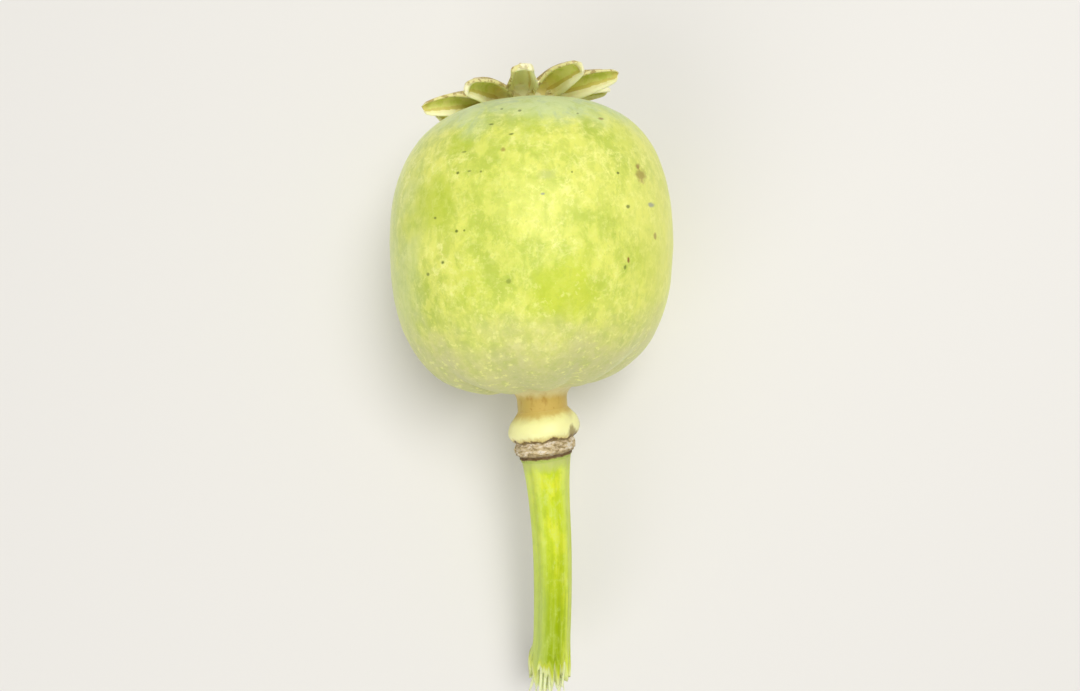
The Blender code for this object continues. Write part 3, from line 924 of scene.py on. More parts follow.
    def middle(self, tree: Tree) -> Any:
        """Makes the plate that the rays meet on and the stalk that carries it.

        Args:
            tree: the crown's tree.

        Returns:
            Both, as one geometry socket.
        """
        ball = {"Segments": 64, "Rings": 32, "Radius": self.plate_radius}
        plate = tree.add("GeometryNodeMeshUVSphere", ball).outputs[0]
        flat = {"Geometry": plate, "Scale": (1.0, 1.0, self.plate_dome / self.plate_radius)}
        plate = tree.add("GeometryNodeTransform", flat).outputs[0]
        depth = FORM.crown_lift + self.stalk_sink
        top, foot = self.stalk_radii
        sizes = {"Vertices": 64, "Radius Top": top, "Radius Bottom": foot, "Depth": depth}
        stalk = tree.add("GeometryNodeMeshCone", sizes).outputs[0]
        low = {"Geometry": stalk, "Translation": (0.0, 0.0, -depth)}
        stalk = tree.add("GeometryNodeTransform", low).outputs[0]
        both = tree.add("GeometryNodeJoinGeometry", {"Geometry": plate})
        tree.nodes.links.new(stalk, both.inputs[0])
        return both.outputs[0]

    def fuse(self, crown: bpy.types.Object, material: bpy.types.Material) -> None:
        """Makes the crown's overlapping forms one skin, and carries their marks over to it.

        Args:
            crown: the crown, whose mesh is replaced.
            material: its finish, which the fused skin would lose.
        """
        marks = ("share", "ray", "rim", "near")
        loose = crown.data
        values = {}
        for mark in marks:
            kept = [0.0] * len(loose.vertices)
            loose.attributes[mark].data.foreach_get("value", kept)
            values[mark] = kept
        tree = KDTree(len(loose.vertices))
        for vertex in loose.vertices:
            tree.insert(vertex.co, vertex.index)
        tree.balance()
        remesh = crown.modifiers.new("one_skin", "REMESH")
        remesh.mode = "VOXEL"
        remesh.voxel_size = self.voxel
        soften = crown.modifiers.new("soften", "SMOOTH")
        soften.factor = 0.5
        soften.iterations = 2
        graph = bpy.context.evaluated_depsgraph_get()
        fused = bpy.data.meshes.new_from_object(crown.evaluated_get(graph), depsgraph=graph)
        crown.modifiers.clear()
        crown.data = fused
        nearest = [tree.find(vertex.co)[1] for vertex in fused.vertices]
        fused.materials.clear()
        fused.materials.append(material)
        for mark in marks:
            kept = fused.attributes.get(mark) or fused.attributes.new(mark, "FLOAT", "POINT")
            kept.data.foreach_set("value", [values[mark][index] for index in nearest])
        grown = fused.attributes.new(GROWN, "FLOAT_VECTOR", "POINT")
        grown.data.foreach_set("vector", [c for vertex in fused.vertices for c in vertex.co])

    def points(self) -> bpy.types.Mesh:
        """One point for each lobe, which carries the lobe's own sizes.

        Returns:
            The points' mesh.
        """
        mesh = bpy.data.meshes.new("lobe_points")
        mesh.from_pydata([(0.0, 0.0, 0.0)] * len(self.lobes), [], [])
        angles = ("direction", "roll")
        for name in ("direction", "reach", "width", "tip", "rise", "roll", "fold"):
            kept = mesh.attributes.new(name, "FLOAT", "POINT")
            values = [getattr(lobe, name) for lobe in self.lobes]
            kept.data.foreach_set("value", [math.radians(v) if name in angles else v for v in values])
        return mesh

    def build(self, material: bpy.types.Material) -> bpy.types.Object:
        """Grows the crown.

        Args:
            material: its finish.

        Returns:
            The finished piece, laid down.
        """
        height = FORM.pod_top + FORM.crown_lift
        place = Matrix.Translation((0.0, 0.0, height)) @ Matrix.Rotation(-FORM.crown_lean, 4, "Y")
        crown = self.lobe_tree(material).run("crown_skin", self.points())
        crown.data.transform(place)
        self.fuse(crown, material)
        lay_down(crown)
        return crown


class Pattern(Enum):
    """The textures that the finishes are drawn with."""

    NOISE = "ShaderNodeTexNoise"
    CELLS = "ShaderNodeTexVoronoi"


class Paint:
    """A finish being built: colours are laid one over the other on a Principled shader."""

    def __init__(self, name: str, colour: str, **constants: Any) -> None:
        """Starts a finish.

        Args:
            name: the real substance and how its surface came to be.
            colour: the colour under everything else.
            constants: shader inputs that are the same all over, with _ for a space.
        """
        self.material = bpy.data.materials.new(name)
        self.material.use_nodes = True
        self.tree = self.material.node_tree
        self.shader = self.tree.nodes["Principled BSDF"]
        for key, value in constants.items():
            self.shader.inputs[key.replace("_", " ")].default_value = value
        self.colour: Any = linear(colour)
        self.grown = self.add("ShaderNodeAttribute", attribute_name=GROWN).outputs["Vector"]
        self.x, self.y, self.z = parted(self.tree, self.grown)
        self.angle = self.y.work("ARCTAN2", self.x)
        self.radius = (self.x * self.x + self.y * self.y).work("SQRT")

    def add(self, kind: str, links: dict | None = None, **settings: Any) -> Any:
        """Adds a node to the finish."""
        return add_node(self.tree, kind, links, **settings)

    def mark(self, name: str) -> Wire:
        """A number that the piece keeps on its surface."""
        return Wire(self.tree, self.add("ShaderNodeAttribute", attribute_name=name).outputs["Fac"])

    def pattern(self, kind: Pattern, size: float, where: Any = None, output: Any = 0, **settings: Any) -> Wire:
        """Adds a texture whose features have a real size.

        Args:
            kind: which texture.
            size: the size or spacing of its features, in metres.
            where: the coordinates, or None for the grown ones.
            output: which of its outputs to take.
            settings: the node's own properties, and its inputs where the name starts with a capital.

        Returns:
            The texture's value.
        """
        links = {key: settings.pop(key) for key in list(settings) if key[0].isupper()}
        links |= {"Vector": self.grown if where is None else where, "Scale": 1.0 / size}
        return Wire(self.tree, self.add(kind.value, links, **settings).outputs[output])

    def lay(self, colour: Any, share: Wire | float) -> None:
        """Lays a colour over what is there.

        Args:
            colour: an sRGB hex colour, or a colour socket.
            share: how much of it covers.
        """
        over = linear(colour) if isinstance(colour, str) else colour
        mixed = self.add("ShaderNodeMix", {0: share, 6: self.colour, 7: over}, data_type="RGBA")
        self.colour = mixed.outputs[2]

    def finish(self, roughness: Wire | float, relief: Wire | None = None) -> bpy.types.Material:
        """Ends the finish.

        Args:
            roughness: the surface's roughness.
            relief: its fine height, in metres.

        Returns:
            The material.
        """
        self.tree.links.new(self.colour, self.shader.inputs["Base Color"])
        if isinstance(roughness, Wire):
            self.tree.links.new(roughness.socket, self.shader.inputs["Roughness"])
        else:
            self.shader.inputs["Roughness"].default_value = roughness
        if relief is not None:
            bump = self.add("ShaderNodeBump", {"Height": relief, "Distance": 1.0, "Strength": 1.0})
            self.tree.links.new(bump.outputs[0], self.shader.inputs["Normal"])
        return self.material


class Tone(Enum):
    """The colours of the capsule's own marks."""

    MOSS = "BCCD34"
    OLIVE = "C6D428"
    LEMON = "F4F57E"
    DARK = "56681A"
    UMBER = "8A5A1E"
    GREY = "A3A78C"


@dataclass(frozen=True)
class Blemish:
    """A mark on the capsule's upper side, in millimetres from its middle as it grows.

    It is drawn with an uneven edge, so that a wide one is a soft patch and a small one a speck.
    """

    x: float
    z: float
    wide: float
    tall: float
    tone: Tone
    share: float


PATCHES: tuple[Blemish, ...] = (
    Blemish(-13.3, 5.4, 4.2, 4.6, Tone.MOSS, 0.66),
    Blemish(-8.6, 12.6, 2.2, 2.2, Tone.MOSS, 0.60),
    Blemish(0.5, 14.6, 1.8, 2.0, Tone.MOSS, 0.62),
    Blemish(12.6, 12.0, 3.8, 2.0, Tone.MOSS, 0.35),
    Blemish(16.0, -4.5, 2.4, 5.0, Tone.OLIVE, 0.40),
    Blemish(3.8, -7.2, 4.4, 4.8, Tone.OLIVE, 0.62),
    Blemish(-8.0, -6.0, 2.4, 3.2, Tone.MOSS, 0.35),
    Blemish(0.0, 3.6, 5.2, 5.0, Tone.LEMON, 0.35),
    Blemish(-14.3, 0.0, 2.8, 2.2, Tone.LEMON, 0.38),
    Blemish(8.5, 6.5, 3.0, 4.5, Tone.LEMON, 0.30),
    Blemish(14.0, 3.0, 3.4, 4.2, Tone.LEMON, 0.40),
)
SPECKS: tuple[Blemish, ...] = (
    Blemish(-8.9, 8.6, 0.26, 0.22, Tone.DARK, 0.85),
    Blemish(-7.4, 8.6, 0.30, 0.14, Tone.DARK, 0.65),
    Blemish(-5.9, 8.3, 0.18, 0.18, Tone.DARK, 0.70),
    Blemish(-2.0, 12.9, 0.40, 0.18, Tone.DARK, 0.80),
    Blemish(-4.6, 14.7, 0.34, 0.18, Tone.DARK, 0.75),
    Blemish(-0.9, 16.4, 0.26, 0.20, Tone.DARK, 0.70),
    Blemish(-3.3, 17.1, 0.22, 0.20, Tone.DARK, 0.60),
    Blemish(-8.1, 11.3, 0.36, 0.15, Tone.DARK, 0.60),
    Blemish(-3.1, 10.9, 0.34, 0.34, Tone.UMBER, 0.55),
    Blemish(5.4, 7.4, 0.16, 0.16, Tone.DARK, 0.75),
    Blemish(11.4, 7.4, 0.20, 0.18, Tone.DARK, 0.85),
    Blemish(1.7, 4.8, 0.30, 0.16, Tone.GREY, 0.85),
    Blemish(2.2, 7.2, 1.10, 0.70, Tone.GREY, 0.22),
    Blemish(12.6, 3.1, 0.30, 0.24, Tone.DARK, 0.75),
    Blemish(16.1, 3.6, 0.60, 0.34, Tone.GREY, 0.90),
    Blemish(12.5, -3.7, 0.20, 0.45, Tone.UMBER, 0.90),
    Blemish(16.6, -0.5, 0.25, 0.50, Tone.UMBER, 0.60),
    Blemish(-9.2, 1.2, 0.24, 0.20, Tone.DARK, 0.85),
    Blemish(-8.2, 1.2, 0.16, 0.16, Tone.DARK, 0.70),
    Blemish(-11.2, -2.5, 0.26, 0.26, Tone.DARK, 0.85),
    Blemish(-13.4, -3.7, 0.26, 0.24, Tone.DARK, 0.70),
    Blemish(-12.1, 3.3, 0.22, 0.20, Tone.DARK, 0.70),
    Blemish(-2.8, -5.6, 0.34, 0.34, Tone.DARK, 0.45),
    Blemish(9.6, 15.1, 0.45, 0.22, Tone.UMBER, 0.65),
    Blemish(6.6, 15.7, 0.20, 0.16, Tone.DARK, 0.60),
    Blemish(14.7, 7.4, 0.80, 1.10, Tone.UMBER, 0.60),
    Blemish(14.3, 8.6, 0.40, 0.40, Tone.UMBER, 0.70),
)


@dataclass(frozen=True)
class CapsuleSkin:
    """The capsule's skin: living green epidermis, mottled, under a wax bloom that rubs off.

    It looks satin and slightly deep, paler and greyer where the bloom is whole, at both ends and
    down the left, and yellower where it has gone. A thin pale line down both sides of its outline,
    as seen from above, is a painted highlight.
    """

    ground: str = "D2DC5E"
    green: str = "B7C74A"
    yellow: str = "EDEE72"
    fleck: str = "F9F996"
    bloom_top: str = "D3E2A2"
    bloom_grey: str = "B9CBA0"
    bloom_base: str = "CBC88C"
    side_bloom_and_rim_highlight: str = "CCD890"
    neck_pale: str = "E3D89A"
    neck_tan: str = "C9A94E"
    neck_brown: str = "AE8434"
    neck_olive: str = "B9A655"
    speck: str = "6F7F22"
    patch_size: float = 0.0085
    patch_edge: float = 0.0042
    streak_size: float = 0.0030
    worn_size: float = 0.0105
    cloud_size: float = 0.0060
    blot_size: float = 0.0019
    net_size: float = 0.0013
    thread_size: float = 0.0016
    dot_size: float = 0.0009
    speck_spacing: float = 0.0042
    speck_edge: float = 0.0006
    wobble_size: float = 0.0012
    neck_streak_size: float = 0.0013
    neck_spot_size: float = 0.0007
    pore_size: float = 0.00035  # real ones are about 0.05 mm: drawn coarser, to show

    def make(self) -> bpy.types.Material:
        """Builds the finish.

        Returns:
            The material.
        """
        paint = Paint(
            "living_capsule_skin_with_wax_bloom",
            self.ground,
            Specular_IOR_Level=0.35,
            Subsurface_Weight=0.12,
            Subsurface_Radius=(0.6, 1.0, 0.2),
            Subsurface_Scale=0.0012,
            Sheen_Weight=0.38,
            Sheen_Roughness=0.45,
            Sheen_Tint=linear("F4F6D8"),
            IOR=1.42,
        )
        x, y, z = paint.x, paint.y, paint.z
        patches = paint.pattern(Pattern.NOISE, self.patch_size, Detail=3.0, Roughness=0.55, Distortion=0.6)
        paint.lay(self.green, (1.0 - patches.step(0.36, 0.52)) * 0.65)
        paint.lay(self.yellow, patches.step(0.47, 0.64) * 0.60)
        drawn_out = joined(paint.tree, x, y, z * 0.45)
        bent = {"Detail": 4.0, "Roughness": 0.6, "Distortion": 1.2}
        streaks = paint.pattern(Pattern.NOISE, self.streak_size, drawn_out, **bent)
        paint.lay(self.green, streaks.step(0.56, 0.72) * 0.55)
        long = joined(paint.tree, x, y, z * 0.7)
        blots = paint.pattern(Pattern.NOISE, self.blot_size, long, Detail=5.0, Roughness=0.66, Distortion=0.4)
        paint.lay(self.yellow, blots.step(0.46, 0.62) * 0.50)
        paint.lay(self.green, (1.0 - blots.step(0.38, 0.54)) * 0.40)
        net = paint.pattern(Pattern.NOISE, self.net_size, Detail=5.0, Roughness=0.72, Distortion=0.25)
        worn = paint.pattern(Pattern.NOISE, self.worn_size, Detail=2.0).step(0.40, 0.60)
        paint.lay(self.fleck, net.step(0.48, 0.68) * (worn * 0.45 + 0.20))
        threads = paint.pattern(Pattern.NOISE, self.thread_size, Detail=4.0, Roughness=0.55)
        threads = 1.0 - (threads - 0.5).work("ABSOLUTE").step(0.008, 0.050)
        paint.lay(self.fleck, threads * net.step(0.40, 0.60) * (worn * 0.35 + 0.25))
        self.blemishes(paint, PATCHES, self.patch_edge, 1.9)
        grit = paint.pattern(Pattern.NOISE, self.dot_size, Detail=3.0, Roughness=0.6)
        lower = (-z).step(0.000, 0.012) * 0.30 + 0.15
        paint.lay(self.fleck, grit.step(0.58, 0.68) * lower)
        paint.lay(self.green, (1.0 - grit.step(0.34, 0.42)) * 0.25)
        cloud = paint.pattern(Pattern.NOISE, self.cloud_size, Detail=4.0, Roughness=0.6)
        top = (z + (cloud - 0.5) * 0.012).step(0.0125, 0.0185)
        base = (-z + (cloud - 0.5) * 0.014).step(0.0075, 0.0175)
        side = (-x + (cloud - 0.5) * 0.016).step(0.0125, 0.0205)
        paint.lay(self.yellow, x.step(0.0115, 0.0180) * 0.55)
        paint.lay(self.side_bloom_and_rim_highlight, side * (0.30 + blots * 0.55))
        # painted highlight: a thin pale line down both sides of the outline as seen from above, in the side bloom's
        # colour
        paint.lay(self.side_bloom_and_rim_highlight, x.work("ABSOLUTE").step(0.0198, 0.0210) * 0.55)
        paint.lay(self.bloom_base, base * (0.50 + blots * 0.55))
        paint.lay(self.fleck, base * grit.step(0.56, 0.68) * 0.55)
        paint.lay(self.green, base * (1.0 - net.step(0.36, 0.50)) * 0.30)
        paint.lay(self.bloom_top, top * (0.60 + blots * 0.45))
        paint.lay(self.bloom_grey, top * streaks.step(0.50, 0.62) * 0.55)
        paint.lay(self.green, top * (1.0 - blots.step(0.34, 0.50)) * 0.35)
        self.specks(paint)
        self.blemishes(paint, SPECKS, self.speck_edge, 1.1)
        self.neck(paint)
        pores = paint.pattern(Pattern.NOISE, self.pore_size, Detail=2.0)
        roughness = (net * 0.16 + 0.40) + top * 0.10 + base * 0.08
        return paint.finish(roughness, pores * 0.00004 + net * 0.00005)

    def specks(self, paint: Paint) -> None:
        """Scatters small dark specks, in about one cell of three.

        Args:
            paint: the finish.
        """
        wobble = paint.pattern(Pattern.NOISE, self.wobble_size, output=1)
        shift = paint.add("ShaderNodeVectorMath", {0: wobble, 1: (0.5, 0.5, 0.5)}, operation="SUBTRACT")
        small = paint.add("ShaderNodeVectorMath", {0: shift.outputs[0], "Scale": 0.0007}, operation="SCALE")
        moved = paint.add("ShaderNodeVectorMath", {0: paint.grown, 1: small.outputs[0]})
        cells = {"Vector": moved.outputs[0], "Scale": 1.0 / self.speck_spacing, "Randomness": 1.0}
        cell = paint.add(Pattern.CELLS.value, cells)
        chance, tone, size = parted(paint.tree, cell.outputs["Color"])
        far = Wire(paint.tree, cell.outputs["Distance"]) * self.speck_spacing
        here = (1.0 - (far / (size * 0.00022 + 0.00012)).step(0.55, 1.25)) * chance.work("GREATER_THAN", 0.62)
        on_pod = paint.z.step(-0.0200, -0.0180)
        paint.lay(self.speck, here * on_pod * (tone * 0.5 + 0.3))

    def blemishes(self, paint: Paint, marks: Iterable[Blemish], ragged: float, much: float) -> None:
        """Lays marks where the capsule faces up.

        Args:
            paint: the finish.
            marks: what to lay.
            ragged: the size of the unevenness of their edges, in metres.
            much: how uneven the edges are.
        """
        rough = (paint.pattern(Pattern.NOISE, ragged, Detail=3.0) - 0.5) * much
        upper = paint.y.work("LESS_THAN", 0.0)
        for mark in marks:
            across = (paint.x - mark.x * MM) / (mark.wide * MM)
            up = (paint.z - mark.z * MM) / (mark.tall * MM)
            far = (across * across + up * up).work("SQRT") + rough
            paint.lay(mark.tone.value, (1.0 - far.step(0.40, 1.25)) * upper * mark.share)

    def neck(self, paint: Paint) -> None:
        """Lays the neck's pale top and its tan, streaked waist.

        Args:
            paint: the finish.
        """
        x, y, z = paint.x, paint.y, paint.z
        long = joined(paint.tree, x, y, z * 0.5)
        streak = paint.pattern(Pattern.NOISE, self.neck_streak_size, long, Detail=4.0, Roughness=0.6)
        down = -z + (streak - 0.5) * 0.0014
        paint.lay(self.neck_pale, down.step(0.0196, 0.0210) * (1.0 - paint.radius.step(0.0075, 0.0105)))
        waist = down.step(0.0208, 0.0222)
        paint.lay(self.neck_tan, waist * 0.9)
        paint.lay(self.neck_olive, waist * (-x).step(0.0006, 0.0030) * 0.5)
        paint.lay(self.neck_brown, waist * streak.step(0.52, 0.68) * 0.6)
        spots = paint.pattern(Pattern.NOISE, self.neck_spot_size, Detail=2.0).step(0.62, 0.70)
        paint.lay(self.neck_brown, waist * down.step(0.0226, 0.0236) * spots * 0.8)


@dataclass(frozen=True)
class CrownSkin:
    """The crown's flesh: olive hollows between thick cream margins, and brownish velvet rays.

    The margins are corky and nearly matt, the hollows are smooth and a little translucent, and
    the rays are covered in papillae, coarse enough here to show. Painted light pales the roots of
    the hollows and the lobe that points up, and a painted shadow runs inside each lower margin.
    """

    hollow: str = "E6E48C"
    deep: str = "CCD45A"
    margin: str = "FBF6C6"
    upper_margin: str = "D8CC7A"
    shade: str = "CDB55A"
    root: str = "F2E294"
    edge: str = "A58A4C"
    ray: str = "CDBC7C"
    lip: str = "E0CCA8"
    ray_dark: str = "8E7840"
    cloud_size: float = 0.0016
    fine_size: float = 0.0006
    papilla: float = 0.00032  # real ones are about 0.1 mm: drawn coarser, to show

    def make(self) -> bpy.types.Material:
        """Builds the finish.

        Returns:
            The material.
        """
        paint = Paint(
            "crown_flesh_with_corky_margins",
            self.hollow,
            Subsurface_Weight=0.30,
            Subsurface_Radius=(0.8, 1.0, 0.3),
            Subsurface_Scale=0.0008,
            IOR=1.42,
        )
        share, ray, rim = paint.mark("share"), paint.mark("ray"), paint.mark("rim")
        near = paint.mark("near").step(0.30, 0.85)
        cloud = paint.pattern(Pattern.NOISE, self.cloud_size, Detail=3.0, Roughness=0.6)
        fine = paint.pattern(Pattern.NOISE, self.fine_size, Detail=3.0)
        paint.lay(self.deep, cloud.step(0.44, 0.62) * 0.75)
        # the roots of the hollows are warm yellow, and are drawn paler still as painted light that lifts the shade
        # deep in the hollows
        paint.lay(self.root, (1.0 - share.step(0.20, 0.66)) * 0.85)
        # painted light: the lobe that points up shows its hollow underside, which lies in shade, so it is paled
        # towards cream
        painted_light_on_upper_lobe = (1.0 - paint.x.work("ABSOLUTE").step(0.0012, 0.0032)) * paint.y.work("LESS_THAN", 0.0)
        paint.lay(self.root, painted_light_on_upper_lobe * 0.75)
        paint.lay(self.margin, painted_light_on_upper_lobe * 0.85)
        # painted shadow: a darker warm line just inside each lower margin, under its bead
        paint.lay(self.shade, rim.step(0.14, 0.40) * (1.0 - near) * 0.60)
        paint.lay(self.margin, (rim + (cloud - 0.5) * 0.22).step(0.50, 0.74))
        paint.lay(self.upper_margin, near * rim.step(0.3, 0.9) * 0.65)
        paint.lay(self.edge, near * (rim + (fine - 0.5) * 0.9).step(0.98, 1.10) * 0.8)
        tip = share.step(0.92, 1.0) * (cloud + fine).step(0.95, 1.20)
        paint.lay(self.edge, tip * 0.6)
        papillae = paint.pattern(Pattern.CELLS, self.papilla, output="Distance")
        paint.lay(self.ray, ray.step(0.3, 0.7))
        paint.lay(self.ray_dark, ray.step(0.3, 0.7) * papillae.step(0.30, 0.62) * 0.6)
        paint.lay(self.lip, ray.step(0.3, 0.7) * share.step(0.80, 0.92) * 0.7)
        relief = fine * 0.00006 + (1.0 - papillae) * ray * 0.00012
        return paint.finish(0.62 - rim * 0.08, relief)


@dataclass(frozen=True)
class ReceptacleSkin:
    """The receptacle: smooth cream flesh, and below it torn, dried scars.

    The flesh is pale and softly shining; the scars are corky, pinkish where they healed and
    dark brown in their two grooves, with painted highlights on their lumps and painted shade
    between them.
    """

    flesh: str = "F8F5AE"
    shade: str = "DDD69A"
    neck_tan: str = "C9A94E"
    scar: str = "D8C49A"
    painted_scar_highlight: str = "F0E4CC"
    crack: str = "6B4E2A"
    groove_brown_and_crevice_shade: str = "8A7440"
    stem_green: str = "BCCB62"
    grain: float = 0.00055
    jag_size: float = 0.0009
    soft_size: float = 0.0035
    lump_size: float = 0.0011

    def make(self) -> bpy.types.Material:
        """Builds the finish.

        Returns:
            The material.
        """
        paint = Paint(
            "receptacle_flesh_with_healed_scars",
            self.flesh,
            Subsurface_Weight=0.15,
            Subsurface_Radius=(1.0, 0.9, 0.4),
            Subsurface_Scale=0.0010,
            IOR=1.42,
        )
        depth = -paint.z - FORM.receptacle_top
        around = joined(paint.tree, paint.x, paint.y, paint.z * 0.35)
        jag = paint.pattern(Pattern.NOISE, self.jag_size, around, Detail=4.0, Roughness=0.65)
        soft = paint.pattern(Pattern.NOISE, self.soft_size, Detail=2.0)
        grain = paint.pattern(Pattern.NOISE, self.grain, Detail=4.0, Roughness=0.65)
        flat = joined(paint.tree, paint.x, paint.y, paint.z * 2.4)
        lumps = paint.pattern(Pattern.NOISE, self.lump_size, flat, Detail=4.0, Roughness=0.6)
        down = depth + (jag - 0.5) * 0.0014
        paint.lay(self.shade, soft.step(0.45, 0.70) * 0.6)
        paint.lay(self.neck_tan, (1.0 - (depth + (jag - 0.5) * 0.0012).step(-0.0002, 0.0010)) * 0.85)
        paint.lay(self.neck_tan, down.step(0.0030, 0.0037) * 0.6)
        paint.lay(self.groove_brown_and_crevice_shade, down.step(0.0036, 0.0038))
        paint.lay(self.crack, down.step(0.0037, 0.0039) * jag.step(0.42, 0.56) * 0.85)
        band = down.step(0.0039, 0.0042)
        paint.lay(self.scar, band)
        # painted shade in the hollows between the scar band's lumps
        paint.lay(self.groove_brown_and_crevice_shade, band * (1.0 - lumps.step(0.38, 0.50)) * 0.75)
        # painted highlights on the scar band's lumps
        paint.lay(self.painted_scar_highlight, band * lumps.step(0.52, 0.60) * 0.95)
        paint.lay(self.crack, band * (1.0 - grain.step(0.32, 0.42)) * 0.6)
        lower = depth + (jag - 0.5) * 0.0007
        paint.lay(self.groove_brown_and_crevice_shade, lower.step(0.0056, 0.0060) * 0.7)
        paint.lay(self.crack, lower.step(0.0060, 0.0063) * (0.55 + grain * 0.5))
        wide = ((depth - 0.0017) * 0.28).work("MAXIMUM", 0.0) + 0.00012
        notch = ((paint.x - 0.0041 + (jag - 0.5) * 0.0010) / wide).work("ABSOLUTE")
        climb = depth.step(0.0017, 0.0026) * (1.0 - depth.step(0.0040, 0.0044))
        upper = paint.y.work("LESS_THAN", 0.0)
        paint.lay(self.groove_brown_and_crevice_shade, (1.0 - notch.step(0.6, 1.3)) * climb * upper * 0.75)
        paint.lay(self.stem_green, lower.step(0.0065, 0.0068))
        roughness = band * 0.25 + 0.42
        return paint.finish(roughness, (grain + lumps) * (band * 0.00020 + 0.00002))


@dataclass(frozen=True)
class StemSkin:
    """The stem: smooth green skin over lengthwise strands, torn open to pale fibres at its end.

    It is glossier than the capsule, more yellow under the scar, and its strands show as darker
    and paler lines that grow stronger towards the tear.
    """

    ground: str = "CCDC30"
    pale: str = "D9E77A"
    yellow: str = "ECEE40"
    deep: str = "98B000"
    bloom: str = "BACB74"
    under_scar: str = "C3CC72"
    pith: str = "EDF3BE"
    strand_width: float = 0.30  # a share of the stem's radius
    blotch_size: float = 0.0028
    wrinkle_size: float = 0.0013
    fine_size: float = 0.0005

    def make(self) -> bpy.types.Material:
        """Builds the finish.

        Returns:
            The material.
        """
        paint = Paint(
            "stem_skin_over_strands",
            self.ground,
            Specular_IOR_Level=0.14,
            Subsurface_Weight=0.15,
            Subsurface_Radius=(0.7, 1.0, 0.15),
            Subsurface_Scale=0.0012,
            IOR=1.43,
        )
        x, z = paint.x, paint.z
        depth = -z
        turned = joined(paint.tree, paint.angle.work("COSINE"), paint.angle.work("SINE"), z * 22.0)
        strands = paint.pattern(Pattern.NOISE, self.strand_width, turned, Detail=4.0, Roughness=0.6)
        long = joined(paint.tree, x, paint.y, z * 0.7)
        blotch = paint.pattern(Pattern.NOISE, self.blotch_size, long, Detail=5.0, Roughness=0.62)
        lower = depth.step(0.040, 0.060)
        paint.lay(self.yellow, blotch.step(0.46, 0.62) * (0.60 - lower * 0.3))
        middle = (x + 0.0016).step(-0.0006, 0.0008) * (1.0 - (x + 0.0016).step(0.0026, 0.0040))
        paint.lay(self.deep, middle * (lower * 0.85 + 0.05))
        paint.lay(self.pale, (1.0 - strands.step(0.36, 0.50)) * (0.35 - lower * 0.05))
        paint.lay(self.deep, strands.step(0.50, 0.62) * (lower * 0.60 + 0.15))
        wrinkles = paint.pattern(Pattern.NOISE, self.wrinkle_size, long, Detail=4.0, Roughness=0.65)
        paint.lay(self.pale, wrinkles.step(0.50, 0.68) * (0.50 - lower * 0.2))
        paint.lay(self.deep, (1.0 - wrinkles.step(0.36, 0.46)) * 0.25)
        side = (-x + (strands - 0.5) * 0.0016).step(0.0003, 0.0021)
        paint.lay(self.bloom, side * (lower * 0.30 + 0.42))
        paint.lay(self.pale, x.step(0.0014, 0.0026) * 0.45)
        paint.lay(self.pale, (-x).step(0.0023, 0.0030) * 0.55)
        paint.lay(self.under_scar, 1.0 - (depth + (blotch - 0.5) * 0.004).step(0.0312, 0.0334))
        frayed = (depth + (strands - 0.5) * 0.0060).step(0.0636, 0.0662)
        paint.lay(self.yellow, frayed * 0.45)
        paint.lay(self.pith, (depth + (strands - 0.5) * 0.0030).step(0.0652, 0.0668) * 0.6)
        paint.lay(self.pith, paint.mark("fibre") * 0.85)
        fine = paint.pattern(Pattern.NOISE, self.fine_size, joined(paint.tree, x, paint.y, z * 0.08), Detail=2.0)
        return paint.finish(strands * 0.15 + 0.32, fine * 0.00006 + strands * 0.00010)


@dataclass(frozen=True)
class TablePaint:
    """The table: warm white, matt paint, so that it shows only the head's soft shadow."""

    colour: str = "E9E6E0"
    roughness: float = 0.8

    def make(self) -> bpy.types.Material:
        """Builds the finish.

        Returns:
            The material.
        """
        made = bpy.data.materials.new("matt_painted_table")
        made.use_nodes = True
        shader = made.node_tree.nodes["Principled BSDF"]
        shader.inputs["Base Color"].default_value = linear(self.colour)
        shader.inputs["Roughness"].default_value = self.roughness
        return made


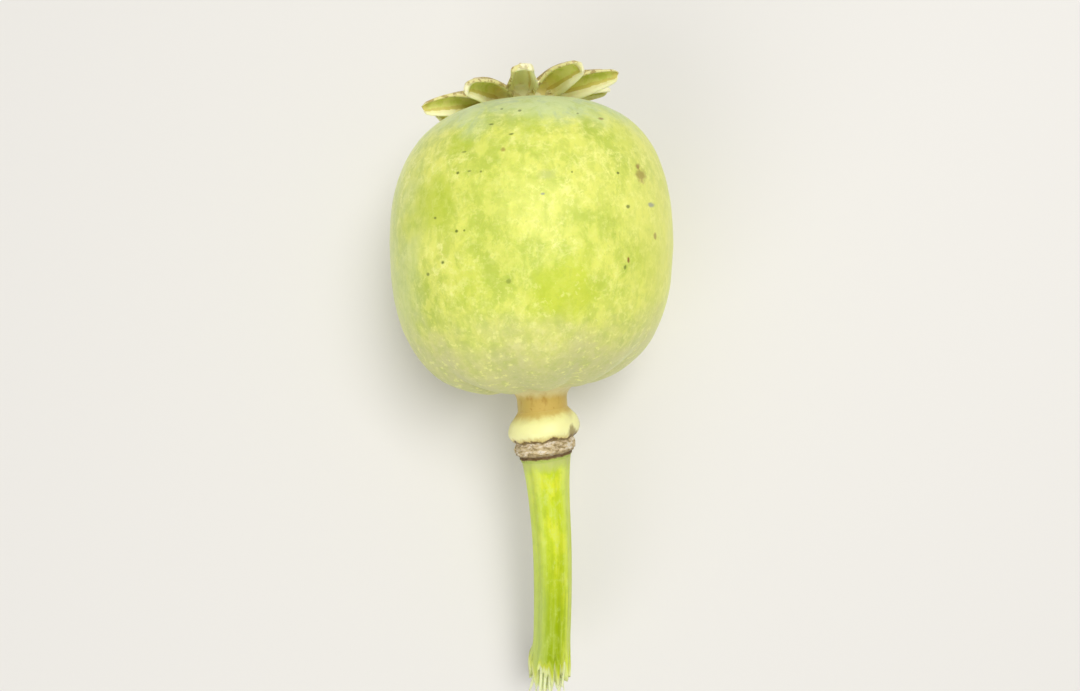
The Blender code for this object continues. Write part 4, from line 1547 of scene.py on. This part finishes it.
@dataclass
class Studio:
    """The pale table, the soft lights and the camera straight above."""

    lens: float = 26.13
    camera_place: tuple[float, float, float] = (0.00027, -0.01305, 0.13747)
    camera_roll: float = math.radians(-4)
    room_colour: str = "FFFFFF"
    room_light: float = 0.38
    table_size: float = 1.6
    lamps: tuple[tuple[str, tuple[float, float, float], float, float], ...] = (
        ("key", (0.13, 0.12, 0.58), 0.30, 2.3),
        ("fill", (-0.30, -0.40, 0.40), 0.45, 1.1),
    )

    def build(self) -> None:
        """Sets the table, the lights and the camera."""
        bpy.ops.mesh.primitive_plane_add(size=self.table_size, location=(0.0, 0.0, 0.0))
        table = bpy.context.object
        table.name = "table"
        table.data.materials.append(TablePaint().make())
        camera = bpy.data.cameras.new("camera")
        camera.lens = self.lens
        camera.sensor_width = 36.0
        camera.clip_start = 0.001
        viewer = bpy.data.objects.new("camera", camera)
        viewer.location = self.camera_place
        viewer.rotation_euler = (0.0, 0.0, self.camera_roll)
        bpy.context.scene.collection.objects.link(viewer)
        bpy.context.scene.camera = viewer
        world = bpy.data.worlds.new("room")
        world.use_nodes = True
        around = world.node_tree.nodes["Background"].inputs
        around["Color"].default_value = linear(self.room_colour)
        around["Strength"].default_value = self.room_light
        bpy.context.scene.world = world
        bpy.context.scene.view_settings.view_transform = "Standard"
        for lamp in self.lamps:
            self.lamp(*lamp)

    def lamp(self, name: str, place: tuple[float, float, float], size: float, watts: float) -> None:
        """Hangs a square soft light that shines on the head.

        Args:
            name: the light's name.
            place: where it hangs.
            size: its side, in metres.
            watts: its power.
        """
        light = bpy.data.lights.new(name, "AREA")
        light.size = size
        light.energy = watts
        hung = bpy.data.objects.new(name, light)
        hung.location = place
        hung.rotation_euler = (Vector((0.0, 0.0, 0.02)) - Vector(place)).to_track_quat("-Z", "Y").to_euler()
        bpy.context.scene.collection.objects.link(hung)


def main() -> None:
    """Builds the pieces in order and puts each in the frame."""
    logging.basicConfig(level=logging.INFO, format="%(message)s")
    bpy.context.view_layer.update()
    Studio().build()
    settle(Pod().build(CapsuleSkin().make()), "capsule")
    settle(Crown().build(CrownSkin().make()), "crown")
    settle(Receptacle().build(ReceptacleSkin().make()), "receptacle")
    settle(Stem().build(StemSkin().make()), "stem")


if __name__ == "__main__":
    main()
